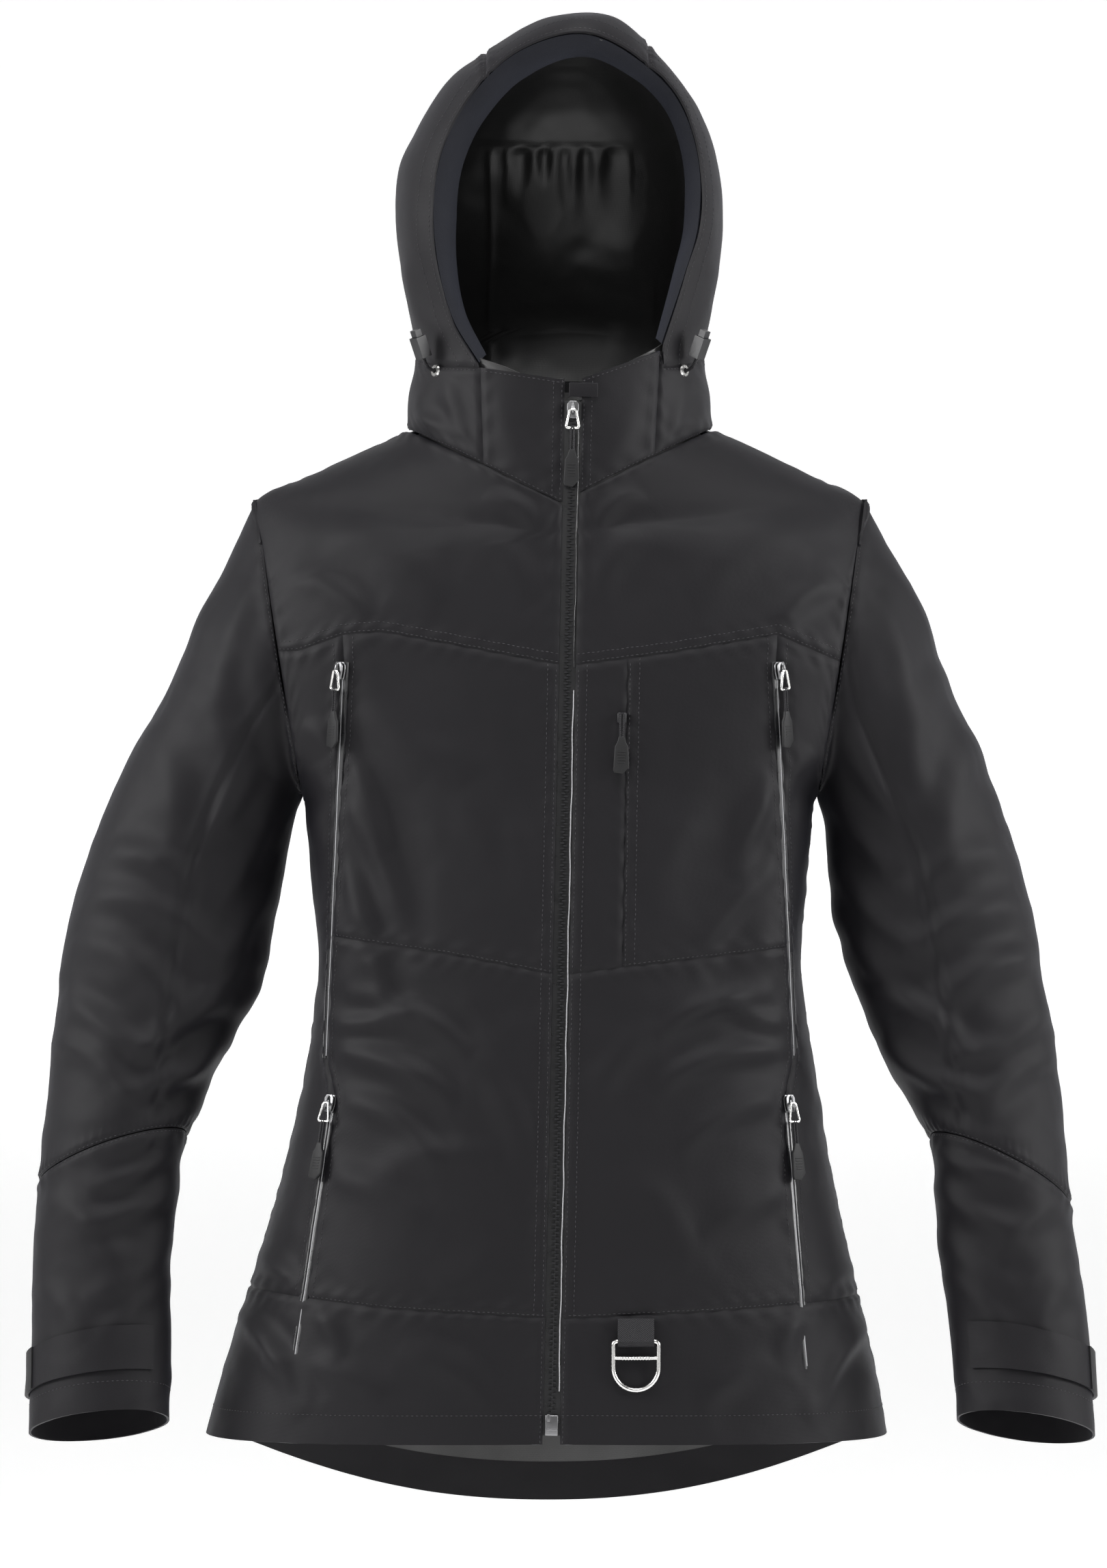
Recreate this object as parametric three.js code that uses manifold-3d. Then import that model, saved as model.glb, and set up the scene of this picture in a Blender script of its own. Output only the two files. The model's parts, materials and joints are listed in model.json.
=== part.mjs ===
// Hooded ski shell jacket, standing as if it were worn.
// Millimetres, +Z up. The front faces -Y, the wearer's right side is -X.
// Garment heights are counted from the lowest point of the dropped back hem;
// the exported group moves the whole garment so that its origin is the hanger loop.
import * as THREE from 'three';
import { mergeVertices } from 'three/addons/utils/BufferGeometryUtils.js';
import Module from 'manifold-3d';

const wasm = await Module();
wasm.setup();

// ---------------------------------------------------------------- driving dimensions
const fabricThickness = 2.4;
const liningThickness = 1.0;
const liningGap = 0.8;
const seamGap = 0.4;
const clearance = 0.3;

const frontHemHeight = 63;
const hemHalfWidth = 238;
const hipHalfWidth = 214;
const waistHalfWidth = 169;
const chestHalfWidth = 181;
const armholeBulgeHalfWidth = 229;
const shoulderHalfWidth = 213;
const neckHalfWidth = 107;

const waistHeight = 390;
const armpitHeight = 510;
const shoulderHeight = 715;
const neckSideHeight = 764;
const neckFrontHeight = 710;
const neckBackHeight = 785;

const hemBackDepth = 128;
const waistBackDepth = 92;
const chestBackDepth = 118;
const neckBackDepth = 62;

const collarTopHeight = 796;
const collarHalfWidth = 101;
const collarBackDepth = 80;
const hoodHalfWidth = 115;
const hoodBackDepth = 117;
const hoodFrontDepth = 107;
const hoodTopHeight = 1054;

const zipBottom = new THREE.Vector3(-6, -128, 69);
const zipTop = new THREE.Vector3(9, -88, 780);
const zipOpening = 12;
const tapeWidth = 9.5;
const tapeThickness = 0.8;
const coilWidth = 5;
const coilThickness = 2.6;
const sideZipWidth = 8;
const sideZipThickness = 2.6;
const sliderWidth = 8;
const sliderLength = 12;
const sliderHeight = 4;
const bailWidth = 11;
const bailLength = 14;
const wireThickness = 1.8;
const tabWidth = 11;
const tabLength = 22;
const tabStemLength = 18;
const tabStemWidth = 4;
const tabThickness = 2.4;
const garageWidth = 20;
const garageHeight = 10;
const garageThickness = 1.5;
const garageLift = 3;

const webbingWidth = 25;
const webbingThickness = 1.5;
const ringThickness = 3;
const webbingSideGap = 1.5;
const ringWidth = webbingWidth + 2 * (ringThickness + webbingSideGap);
const ringHeight = 36.5;
const ringAcross = 52;
const ringTopHeight = 135;
const ringCrossBar = 2.4;
const ringCrossDrop = 11.5;

const cuffTabWidth = 32;
const cuffTabThickness = 2;
const cuffTabRise = 26;

const eyeletRadius = 4.5;
const eyeletHole = 2;
const eyeletThickness = 1.4;
const cordDiameter = 2.4;
const lockWidth = 9;
const lockLength = 15;
const lockDepth = 8;
const lockWall = 1.5;
const lockTravel = 3;
const plungerLength = 10;

const hangerSpan = 56;
const hangerRise = 13;
const hangerStrap = 8;
const hangerThickness = 1.4;

const columns = 28;
const sleeveColumns = 18;

// ---------------------------------------------------------------- curves through keys
// keys is a list of [position, value]; the value between two keys follows a smooth cubic.
function along(keys, position) {
  const last = keys.length - 1;
  if (position <= keys[0][0]) {
    return keys[0][1];
  }
  if (position >= keys[last][0]) {
    return keys[last][1];
  }
  let i = 0;
  while (position > keys[i + 1][0]) {
    i += 1;
  }
  const before = keys[Math.max(i - 1, 0)];
  const [p0, v0] = keys[i];
  const [p1, v1] = keys[i + 1];
  const after = keys[Math.min(i + 2, last)];
  const slope0 = (v1 - before[1]) / (p1 - before[0]);
  const slope1 = (after[1] - v0) / (after[0] - p0);
  const span = p1 - p0;
  const t = (position - p0) / span;
  const rise = t * t * (3 - 2 * t);
  const hermite = v0 * (1 - rise) + v1 * rise
    + span * slope0 * t * (1 - t) * (1 - t)
    - span * slope1 * t * t * (1 - t);
  return hermite;
}

// ---------------------------------------------------------------- the body's outline
const bulgeHeight = armpitHeight + 0.52 * (shoulderHeight - armpitHeight);
const halfWidthKeys = [
  [0, hemHalfWidth],
  [frontHemHeight, hemHalfWidth],
  [frontHemHeight + 97, hipHalfWidth],
  [frontHemHeight + 180, 0.5 * (hipHalfWidth + waistHalfWidth) + 1],
  [waistHeight, waistHalfWidth],
  [armpitHeight - 50, 0.45 * waistHalfWidth + 0.55 * chestHalfWidth],
  [armpitHeight, chestHalfWidth],
  [armpitHeight + 28, 0.5 * (chestHalfWidth + armholeBulgeHalfWidth)],
  [bulgeHeight, armholeBulgeHalfWidth],
  [shoulderHeight - 27, 0.6 * armholeBulgeHalfWidth + 0.4 * shoulderHalfWidth],
];
const backDepthKeys = [
  [0, hemBackDepth],
  [frontHemHeight + 97, hemBackDepth - 8],
  [waistHeight, waistBackDepth],
  [armpitHeight + 60, chestBackDepth],
  [shoulderHeight, chestBackDepth - 12],
];
const powerKeys = [
  [0, 2.6],
  [waistHeight, 2.6],
  [armpitHeight + 90, 2.7],
  [shoulderHeight - 50, 2.3],
  [shoulderHeight - 15, 1.8],
  [shoulderHeight, 1.6],
];
const centreKeys = [
  [frontHemHeight, -9],
  [frontHemHeight + 120, -4],
  [frontHemHeight + 240, 0],
];

function zipPoint(height) {
  const t = (height - zipBottom.z) / (zipTop.z - zipBottom.z);
  return new THREE.Vector3().lerpVectors(zipBottom, zipTop, t);
}

function frontDepth(height) {
  return -zipPoint(height).y;
}

// Ends of the straight side zips: distance from the garment's centre line, and height.
const ventZip = { top: [150, 600], bottom: [163, 325] };
const pocketZip = { top: [157, 300], bottom: [178, 112] };

function plainFront(across, height) {
  const power = along(powerKeys, height);
  const share = Math.min(Math.abs(across) / along(halfWidthKeys, height), 1);
  return -frontDepth(height) * (1 - share ** power) ** (1 / power);
}

// The front panels are pulled flat along each side zip, so that its slider runs straight.
function zipPull(height) {
  for (const zip of [ventZip, pocketZip]) {
    const [topAcross, topHeight] = zip.top;
    const [lowAcross, lowHeight] = zip.bottom;
    if (height <= topHeight && height >= lowHeight) {
      const t = (height - lowHeight) / (topHeight - lowHeight);
      const across = lowAcross + t * (topAcross - lowAcross);
      const straight = THREE.MathUtils.lerp(
        plainFront(lowAcross, lowHeight), plainFront(topAcross, topHeight), t);
      return { across, shift: straight - plainFront(across, height) };
    }
  }
  return { across: pocketZip.top[0], shift: 0 };
}
const zipPullReach = 30;

function frontSurface(across, height) {
  const pull = zipPull(height);
  const away = (Math.abs(across) - pull.across) / zipPullReach;
  return plainFront(across, height) + pull.shift * Math.exp(-away * away);
}

function sidePower(value, power) {
  return Math.sign(value) * Math.abs(value) ** (2 / power);
}

// One closed row of points round the body. Angle 0 is the centre front.
function rowPoint(row, angle) {
  const s = sidePower(Math.sin(angle), row.power);
  const c = sidePower(Math.cos(angle), row.power);
  const share = Math.abs(s);
  const front = c > 0;
  const height = front
    ? row.front + (row.side - row.front) * share
    : row.back + (row.side - row.back) * share ** 2.2;
  const across = row.halfWidth * s;
  const y = front
    ? -row.frontDepth * c + (row.pulled ? pullAt(across, height) : 0)
    : -row.backDepth * c;
  return new THREE.Vector3(row.centre + across, y, height);
}

function pullAt(across, height) {
  return frontSurface(across, height) - plainFront(across, height);
}

function bodyRow(front, side, back) {
  return {
    front,
    side,
    back,
    centre: along(centreKeys, side),
    halfWidth: along(halfWidthKeys, side),
    frontDepth: frontDepth(front),
    backDepth: along(backDepthKeys, back),
    power: along(powerKeys, side),
    pulled: true,
  };
}

function shoulderRow(t) {
  const mix = THREE.MathUtils.lerp;
  const front = mix(neckFrontHeight - 22, neckFrontHeight, t);
  return {
    front,
    side: mix(shoulderHeight, neckSideHeight, t),
    back: mix(shoulderHeight + 8, neckBackHeight, t),
    centre: 0,
    halfWidth: mix(shoulderHalfWidth, neckHalfWidth, t),
    frontDepth: frontDepth(front),
    backDepth: mix(chestBackDepth - 14, neckBackDepth, t),
    power: mix(1.6, 2.0, t),
    pulled: false,
  };
}

const hemRows = [
  bodyRow(frontHemHeight, frontHemHeight - 2, 0),
  bodyRow(frontHemHeight + 47, frontHemHeight + 44, 60),
  bodyRow(frontHemHeight + 97, frontHemHeight + 95, frontHemHeight + 67),
  bodyRow(frontHemHeight + 142, frontHemHeight + 142, frontHemHeight + 132),
];
const torsoHeights = [187, 237, 282, 327, 377, 417, 447].map((rise) => frontHemHeight + rise);
const upperHeights = [28, 62, 105, 145, 178].map((rise) => armpitHeight + rise);
const torsoRows = [
  ...hemRows,
  ...[...torsoHeights, ...upperHeights].map((height) => bodyRow(height, height, height)),
  ...[0, 1 / 3, 2 / 3, 1].map(shoulderRow),
];

// ---------------------------------------------------------------- lofted shells
function ringOf(row, count) {
  const points = [];
  for (let i = 0; i < count; i += 1) {
    points.push(rowPoint(row, (2 * Math.PI * i) / count));
  }
  return points;
}

function outwardNormals(rings) {
  const normals = [];
  const middle = rings.map((ring) => {
    const sum = new THREE.Vector3();
    ring.forEach((point) => sum.add(point));
    return sum.divideScalar(ring.length);
  });
  rings.forEach((ring, r) => {
    const below = rings[Math.max(r - 1, 0)];
    const above = rings[Math.min(r + 1, rings.length - 1)];
    normals.push(ring.map((point, i) => {
      const count = ring.length;
      const round = new THREE.Vector3().subVectors(ring[(i + 1) % count], ring[(i + count - 1) % count]);
      const up = new THREE.Vector3().subVectors(above[i], below[i]);
      const normal = new THREE.Vector3().crossVectors(round, up).normalize();
      const out = new THREE.Vector3().subVectors(point, middle[r]);
      return normal.dot(out) < 0 ? normal.negate() : normal;
    }));
  });
  return normals;
}

// A closed wall between two depths under a lofted surface. pole closes the last ring to a point.
function wallGeometry(rings, outerDepth, innerDepth, pole, keepInside) {
  const normals = outwardNormals(rings);
  const count = rings[0].length;
  const positions = [];
  const faces = [];
  const layer = (depth) => {
    const start = positions.length / 3;
    rings.forEach((ring, r) => ring.forEach((point, i) => {
      const moved = point.clone().addScaledVector(normals[r][i], -depth);
      if (keepInside) {
        keepInside(moved);
      }
      positions.push(moved.x, moved.y, moved.z);
    }));
    if (pole) {
      positions.push(pole.x, pole.y, pole.z - depth);
    }
    return start;
  };
  const outer = layer(outerDepth);
  const inner = layer(innerDepth);
  const quad = (a, b, c, d) => faces.push(a, b, c, a, c, d);
  const last = rings.length - 1;
  for (let r = 0; r < last; r += 1) {
    for (let i = 0; i < count; i += 1) {
      const j = (i + 1) % count;
      const [a, b, c, d] = [r * count + i, r * count + j, (r + 1) * count + j, (r + 1) * count + i];
      quad(outer + a, outer + b, outer + c, outer + d);
      faces.push(inner + a, inner + c, inner + b, inner + a, inner + d, inner + c);
    }
  }
  for (let i = 0; i < count; i += 1) {
    const j = (i + 1) % count;
    quad(outer + j, outer + i, inner + i, inner + j);
    if (pole) {
      const tip = (last + 1) * count;
      faces.push(outer + last * count + i, outer + last * count + j, outer + tip);
      faces.push(inner + last * count + j, inner + last * count + i, inner + tip);
    } else {
      const top = last * count;
      quad(outer + top + i, outer + top + j, inner + top + j, inner + top + i);
    }
  }
  const geometry = new THREE.BufferGeometry();
  geometry.setAttribute('position', new THREE.Float32BufferAttribute(positions, 3));
  geometry.setIndex(faces);
  return facingOut(geometry);
}

function facingOut(geometry) {
  const index = geometry.getIndex();
  const points = geometry.getAttribute('position');
  let volume = 0;
  const [a, b, c] = [new THREE.Vector3(), new THREE.Vector3(), new THREE.Vector3()];
  for (let i = 0; i < index.count; i += 3) {
    a.fromBufferAttribute(points, index.getX(i));
    b.fromBufferAttribute(points, index.getX(i + 1));
    c.fromBufferAttribute(points, index.getX(i + 2));
    volume += a.dot(b.clone().cross(c));
  }
  if (volume < 0) {
    for (let i = 0; i < index.count; i += 3) {
      const kept = index.getX(i);
      index.setX(i, index.getX(i + 1));
      index.setX(i + 1, kept);
    }
  }
  return geometry;
}

// ---------------------------------------------------------------- cutting and joining
function solidOf(geometry) {
  const bare = geometry.clone();
  bare.deleteAttribute('normal');
  bare.deleteAttribute('uv');
  const merged = mergeVertices(bare, 1e-4);
  return new wasm.Manifold(new wasm.Mesh({
    numProp: 3,
    vertProperties: new Float32Array(merged.getAttribute('position').array),
    triVerts: new Uint32Array(merged.getIndex().array),
  }));
}

function geometryOf(solid) {
  const mesh = solid.getMesh();
  const geometry = new THREE.BufferGeometry();
  geometry.setAttribute('position', new THREE.Float32BufferAttribute(mesh.vertProperties, 3));
  geometry.setIndex(Array.from(mesh.triVerts));
  geometry.computeVertexNormals();
  return geometry;
}

function outline(points) {
  return new THREE.Shape(points.map(([x, y]) => new THREE.Vector2(x, y)));
}

// A narrow band along a line, as wide as a seam's gap.
function bandOutline(points, width) {
  const left = [];
  const right = [];
  points.forEach(([x, y], i) => {
    const before = points[Math.max(i - 1, 0)];
    const after = points[Math.min(i + 1, points.length - 1)];
    const length = Math.hypot(after[0] - before[0], after[1] - before[1]);
    const nx = (-(after[1] - before[1]) / length) * (width / 2);
    const ny = ((after[0] - before[0]) / length) * (width / 2);
    left.push([x + nx, y + ny]);
    right.unshift([x - nx, y - ny]);
  });
  return outline([...left, ...right]);
}

const reach = 400;
// A shape drawn in front view, cutting everything from the far front back to a depth.
function frontCutter(shape, backLimit) {
  const geometry = new THREE.ExtrudeGeometry(shape, { depth: reach, bevelEnabled: false });
  geometry.rotateX(Math.PI / 2);
  geometry.translate(0, backLimit, 0);
  return solidOf(geometry);
}

// A shape drawn in side view (depth, height), cutting right across.
function sideCutter(shape, width) {
  const geometry = new THREE.ExtrudeGeometry(shape, { depth: width, bevelEnabled: false });
  geometry.translate(0, 0, -width / 2);
  const basis = new THREE.Matrix4().makeBasis(
    new THREE.Vector3(0, 1, 0), new THREE.Vector3(0, 0, 1), new THREE.Vector3(1, 0, 0));
  geometry.applyMatrix4(basis);
  return solidOf(geometry);
}

function boxCutter(size, matrix) {
  const geometry = new THREE.BoxGeometry(...size);
  geometry.applyMatrix4(matrix);
  return solidOf(geometry);
}

function cutAll(solid, cutters) {
  return cutters.reduce((rest, cutter) => rest.subtract(cutter), solid);
}

// For each named place, the piece that has the nearest corner. Slivers are left out.
const sliverVolume = 40;
function namedPieces(solid, places) {
  const pieces = solid.decompose().filter((piece) => piece.volume() > sliverVolume);
  const named = {};
  Object.entries(places).forEach(([name, place]) => {
    const target = new THREE.Vector3(...place);
    let best = Infinity;
    pieces.forEach((piece) => {
      const { vertProperties } = piece.getMesh();
      for (let i = 0; i < vertProperties.length; i += 3) {
        const gap = Math.hypot(
          vertProperties[i] - target.x, vertProperties[i + 1] - target.y, vertProperties[i + 2] - target.z);
        if (gap < best) {
          best = gap;
          named[name] = geometryOf(piece);
        }
      }
    });
  });
  return named;
}

// ---------------------------------------------------------------- places on the garment
const sides = [
  { name: 'right', sign: -1 },
  { name: 'left', sign: 1 },
];

// The frame of a zip on the front: Z up the zip, -Y out of the fabric.
function zipFrame(top, bottom, outward) {
  const up = new THREE.Vector3().subVectors(top, bottom).normalize();
  const inward = outward.clone().negate();
  inward.addScaledVector(up, -inward.dot(up)).normalize();
  const across = new THREE.Vector3().crossVectors(inward, up);
  return new THREE.Matrix4().makeBasis(across, inward, up);
}

function frontPoint(sign, [across, height]) {
  const x = along(centreKeys, height) + sign * across;
  return new THREE.Vector3(x, frontSurface(across, height), height);
}

function frontNormal(sign, across, height) {
  const step = 6;
  const slope = (frontSurface(across + step, height) - frontSurface(across - step, height)) / (2 * step);
  return new THREE.Vector3(sign * slope, -1, 0).normalize();
}

function sideZip(sign, ends) {
  const top = frontPoint(sign, ends.top);
  const bottom = frontPoint(sign, ends.bottom);
  const middleAcross = (ends.top[0] + ends.bottom[0]) / 2;
  const middleHeight = (ends.top[1] + ends.bottom[1]) / 2;
  const frame = zipFrame(top, bottom, frontNormal(sign, middleAcross, middleHeight));
  return { top, bottom, frame, length: top.distanceTo(bottom) };
}

const sideZips = [];
sides.forEach(({ name, sign }) => {
  sideZips.push({ label: `vent_zip_${name}`, ...sideZip(sign, ventZip) });
  sideZips.push({ label: `pocket_zip_${name}`, ...sideZip(sign, pocketZip) });
});
const mainFrame = zipFrame(zipTop, zipBottom, new THREE.Vector3(0, -1, 0));

function placed(frame, origin) {
  return frame.clone().setPosition(origin);
}

// ---------------------------------------------------------------- armholes and sleeves
const armholeTilt = Math.atan2(shoulderHalfWidth - chestHalfWidth, shoulderHeight - armpitHeight);
const armholeCentreAcross = (shoulderHalfWidth + chestHalfWidth) / 2;
const armholeCentreHeight = (shoulderHeight + armpitHeight) / 2;
const armholeHalfHeight = 0.5 * Math.hypot(shoulderHalfWidth - chestHalfWidth, shoulderHeight - armpitHeight);

function armholeFrame(sign) {
  const out = new THREE.Vector3(sign * Math.cos(armholeTilt), 0, -Math.sin(armholeTilt));
  const up = new THREE.Vector3(sign * Math.sin(armholeTilt), 0, Math.cos(armholeTilt));
  const back = new THREE.Vector3().crossVectors(up, out);
  const centre = new THREE.Vector3(sign * armholeCentreAcross, 0, armholeCentreHeight);
  return { out, up, back, centre };
}

// Each sleeve row: its outer corner, counted outward and up from the shoulder point, and its inner
// corner, counted from the armpit. Then its depth position, half its depth, and its pitch forward
// in degrees.
const sleeveRows = {
  right: [
    [[27, -58], [1, -6], 2, 70, 0],
    [[68, -140], [6, -24], 2, 66, 0],
    [[96, -194], [11, -48], 0, 63, 2],
    [[124, -265], [18, -86], -6, 61, 4],
    [[136, -331], [26, -134], -13, 59, 8],
    [[143, -397], [50, -178], -22, 54, 12],
    [[151, -477], [79, -238], -36, 49, 17],
    [[153, -525], [87, -296], -46, 45, 19],
    [[154, -585], [89, -364], -58, 41, 20],
    [[155, -649], [90, -434], -72, 38, 20],
  ],
  left: [
    [[30, -58], [1, -6], 2, 70, 0],
    [[68, -140], [5, -24], 2, 66, 0],
    [[89, -194], [7, -46], 0, 63, 2],
    [[113, -269], [11, -86], -6, 61, 4],
    [[128, -343], [22, -130], -13, 59, 8],
    [[137, -415], [45, -188], -22, 54, 12],
    [[144, -493], [77, -240], -36, 49, 17],
    [[150, -537], [82, -302], -46, 45, 19],
    [[155, -591], [89, -368], -58, 41, 20],
    [[158, -651], [94, -434], -72, 38, 20],
  ],
};
const elbowRow = 6;

function sleeveRing([fromShoulder, fromArmpit, depth, halfDepth, pitch], sign) {
  const outer = [sign * (shoulderHalfWidth + fromShoulder[0]), shoulderHeight + fromShoulder[1]];
  const inner = [sign * (chestHalfWidth + fromArmpit[0]), armpitHeight + fromArmpit[1]];
  const centre = new THREE.Vector3((outer[0] + inner[0]) / 2, depth, (outer[1] + inner[1]) / 2);
  const wide = new THREE.Vector3((outer[0] - inner[0]) / 2, 0, (outer[1] - inner[1]) / 2);
  const tilt = THREE.MathUtils.degToRad(pitch);
  const deep = new THREE.Vector3(0, Math.cos(tilt), -Math.sin(tilt)).multiplyScalar(halfDepth);
  const ring = [];
  for (let i = 0; i < sleeveColumns; i += 1) {
    const angle = (2 * Math.PI * i) / sleeveColumns;
    ring.push(centre.clone()
      .addScaledVector(wide, Math.cos(angle))
      .addScaledVector(deep, Math.sin(angle)));
  }
  return ring;
}

// The armhole's edge: where the body's surface meets the armhole plane.
function armholeRing(bodySurface, frame) {
  const caster = new THREE.Raycaster();
  const ring = [];
  for (let i = 0; i < sleeveColumns; i += 1) {
    const angle = (2 * Math.PI * i) / sleeveColumns;
    const direction = frame.up.clone().multiplyScalar(Math.cos(angle))
      .addScaledVector(new THREE.Vector3(0, 1, 0), Math.sin(angle));
    caster.set(frame.centre, direction.normalize());
    const hit = caster.intersectObject(bodySurface).pop();
    const distance = Math.min(hit.distance, armholeHalfHeight);
    ring.push(frame.centre.clone()
      .addScaledVector(direction, distance)
      .addScaledVector(frame.out, seamGap));
  }
  return ring;
}

function betweenRings(a, b, t) {
  return a.map((point, i) => point.clone().lerp(b[i], t));
}

// ---------------------------------------------------------------- the hood and collar
function collarRow(front, side, back, halfWidth, depth, backDepth, power, centre) {
  return { front, side, back, halfWidth, frontDepth: depth, backDepth, power, centre, pulled: false };
}

// Heights on the hood are shares of the rise from the collar's top to the hood's top.
function hoodLevel(share) {
  return collarTopHeight + share * (hoodTopHeight - collarTopHeight);
}

function levelRow(share, halfWidth, depth, backDepth, power, centre) {
  const level = hoodLevel(share);
  return collarRow(level, level, level, halfWidth, depth, backDepth, power, centre);
}

const neckRings = [
  collarRow(neckFrontHeight + seamGap, neckSideHeight + seamGap, neckBackHeight + seamGap,
    neckHalfWidth, frontDepth(neckFrontHeight), neckBackDepth, 2.0, 0),
  collarRow(755, 788, 812, 0.5 * (neckHalfWidth + collarHalfWidth) + 2, frontDepth(755),
    0.5 * (neckBackDepth + collarBackDepth), 2.1, 0),
  collarRow(collarTopHeight, 815, 838, collarHalfWidth, frontDepth(collarTopHeight), collarBackDepth, 2.2, 0),
  collarRow(hoodLevel(0.163), hoodLevel(0.209), hoodLevel(0.264), collarHalfWidth + 5,
    hoodFrontDepth - 15, collarBackDepth + 17, 2.2, 0),
  collarRow(hoodLevel(0.318), hoodLevel(0.326), hoodLevel(0.349), hoodHalfWidth - 3,
    hoodFrontDepth - 10, hoodBackDepth - 8, 2.2, 0),
  levelRow(0.45, hoodHalfWidth, hoodFrontDepth - 5, hoodBackDepth - 1, 2.2, 0),
  levelRow(0.597, hoodHalfWidth - 3, hoodFrontDepth - 2, hoodBackDepth, 2.2, 0),
  levelRow(0.729, hoodHalfWidth - 17, hoodFrontDepth, hoodBackDepth - 7, 2.2, 3),
  levelRow(0.829, hoodHalfWidth - 36, hoodFrontDepth, hoodBackDepth - 20, 2.2, 4),
  levelRow(0.915, hoodHalfWidth - 61, hoodFrontDepth - 4, hoodBackDepth - 44, 2.1, 9),
  levelRow(0.969, hoodHalfWidth - 81, hoodFrontDepth - 20, hoodBackDepth - 72, 2.0, 13),
];
const hoodPole = new THREE.Vector3(17, -26, hoodTopHeight);
const faceOpening = [
  [-57, 0.039], [-76, 0.163], [-87, 0.326], [-89, 0.492], [-82, 0.628], [-64, 0.756], [-30, 0.876],
  [17, 0.922], [58, 0.853], [84, 0.756], [98, 0.597], [98, 0.422], [88, 0.279], [72, 0.093], [8, -0.004],
].map(([across, share]) => [across, hoodLevel(share)]);
const faceCentre = [5, hoodLevel(0.461)];

function grown(points, centre, by) {
  return points.map(([x, z]) => {
    const length = Math.hypot(x - centre[0], z - centre[1]);
    return [x + ((x - centre[0]) / length) * by, z + ((z - centre[1]) / length) * by];
  });
}

// ---------------------------------------------------------------- materials
function finish(color, roughness, metalness) {
  return () => new THREE.MeshStandardMaterial({ color, roughness, metalness });
}
const shellCloth = finish(0x26242a, 0.62, 0);
const hemCloth = finish(0x242227, 0.6, 0);
const liningCloth = finish(0x151517, 0.42, 0);
const zipTape = finish(0x1b1b1e, 0.5, 0);
const zipCoil = finish(0x2a2a2e, 0.35, 0);
const nickel = finish(0xb8b8ba, 0.28, 1);
const darkNickel = finish(0x6b6b6e, 0.35, 1);
const rubber = finish(0x161618, 0.7, 0);
const plastic = finish(0x1a1a1c, 0.45, 0);
const webbing = finish(0x1e1d21, 0.8, 0);

const jacket = new THREE.Group();
const garment = new THREE.Group();
jacket.add(garment);

function addPiece(name, geometry, makeMaterial, parent = garment) {
  const mesh = new THREE.Mesh(geometry, makeMaterial());
  mesh.name = name;
  parent.add(mesh);
  return mesh;
}

// ---------------------------------------------------------------- the body panels
const sideSeamDepth = 8;
const zipDepthLimit = -20;
const yokeSeam = [
  [-260, 606], [-181, 608], [-150, 619], [-122, 621], [5, 597],
  [74, 606], [151, 619], [200, 598], [260, 596],
];
const waistSeam = [[-172, 412], [-73, 398], [0, 384], [47, 390], [172, 404]];
const hemSeam = [[-300, 170], [-221, 165], [-117, 155], [0, 149], [101, 153], [212, 159], [300, 162]];

function princessSeam(sign) {
  const ends = [[ventZip.top[0] + 1, 640], ventZip.top, ventZip.bottom, pocketZip.top, pocketZip.bottom];
  return ends.map(([across, height]) => [along(centreKeys, height) + sign * across, height]);
}

function trimmedBelow(points, height) {
  return points.filter(([, z]) => z > height);
}

const torsoRings = torsoRows.map((row) => ringOf(row, columns));
const torsoWall = wallGeometry(torsoRings, 0, fabricThickness);
const torsoShell = solidOf(torsoWall);

function armholeCutter(sign, extra) {
  const frame = armholeFrame(sign);
  const deep = 200;
  const tall = 2 * armholeHalfHeight + deep;
  const basis = new THREE.Matrix4().makeBasis(frame.out, frame.up.clone().cross(frame.out), frame.up);
  const middle = frame.centre.clone()
    .addScaledVector(frame.out, deep / 2 - extra)
    .addScaledVector(frame.up, tall / 2 - armholeHalfHeight - extra);
  return boxCutter([deep, 2 * reach, tall], placed(basis, middle));
}

function zipSlot(zip, extraLength) {
  const middle = new THREE.Vector3().addVectors(zip.top, zip.bottom).divideScalar(2);
  const size = [sideZipWidth + 2 * clearance, 40, zip.length + extraLength];
  return boxCutter(size, placed(zip.frame, middle));
}

function frontZipCutter(halfWidth) {
  const low = zipPoint(-80);
  const high = zipPoint(collarTopHeight + 20);
  const shape = outline([
    [low.x - halfWidth, low.z], [low.x + halfWidth, low.z],
    [high.x + halfWidth, high.z], [high.x - halfWidth, high.z],
  ]);
  return frontCutter(shape, zipDepthLimit);
}

const hemFrontBackCut = boxCutter([2 * reach, seamGap, 3 * reach],
  new THREE.Matrix4().makeTranslation(0, sideSeamDepth, reach));
const hemCutFront = frontCutter(bandOutline(hemSeam, seamGap), sideSeamDepth);
const backHemLine = [[sideSeamDepth - 1, 165], [60, 152], [90, 132], [200, 100]];
const backHemSeam = sideCutter(bandOutline(backHemLine, seamGap), 3 * reach);
const pocketEdge = [[47, 597], [43, 389]];

const chestPocketSeam = [[47.2, 610], ...pocketEdge, [43, 380]];

function lowerPrincessSeam(sign) {
  const end = [along(centreKeys, hemSeam[2][1]) + sign * (pocketZip.bottom[0] - 5), hemSeam[2][1] - 5];
  return [...trimmedBelow(princessSeam(sign), 140), end];
}

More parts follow.
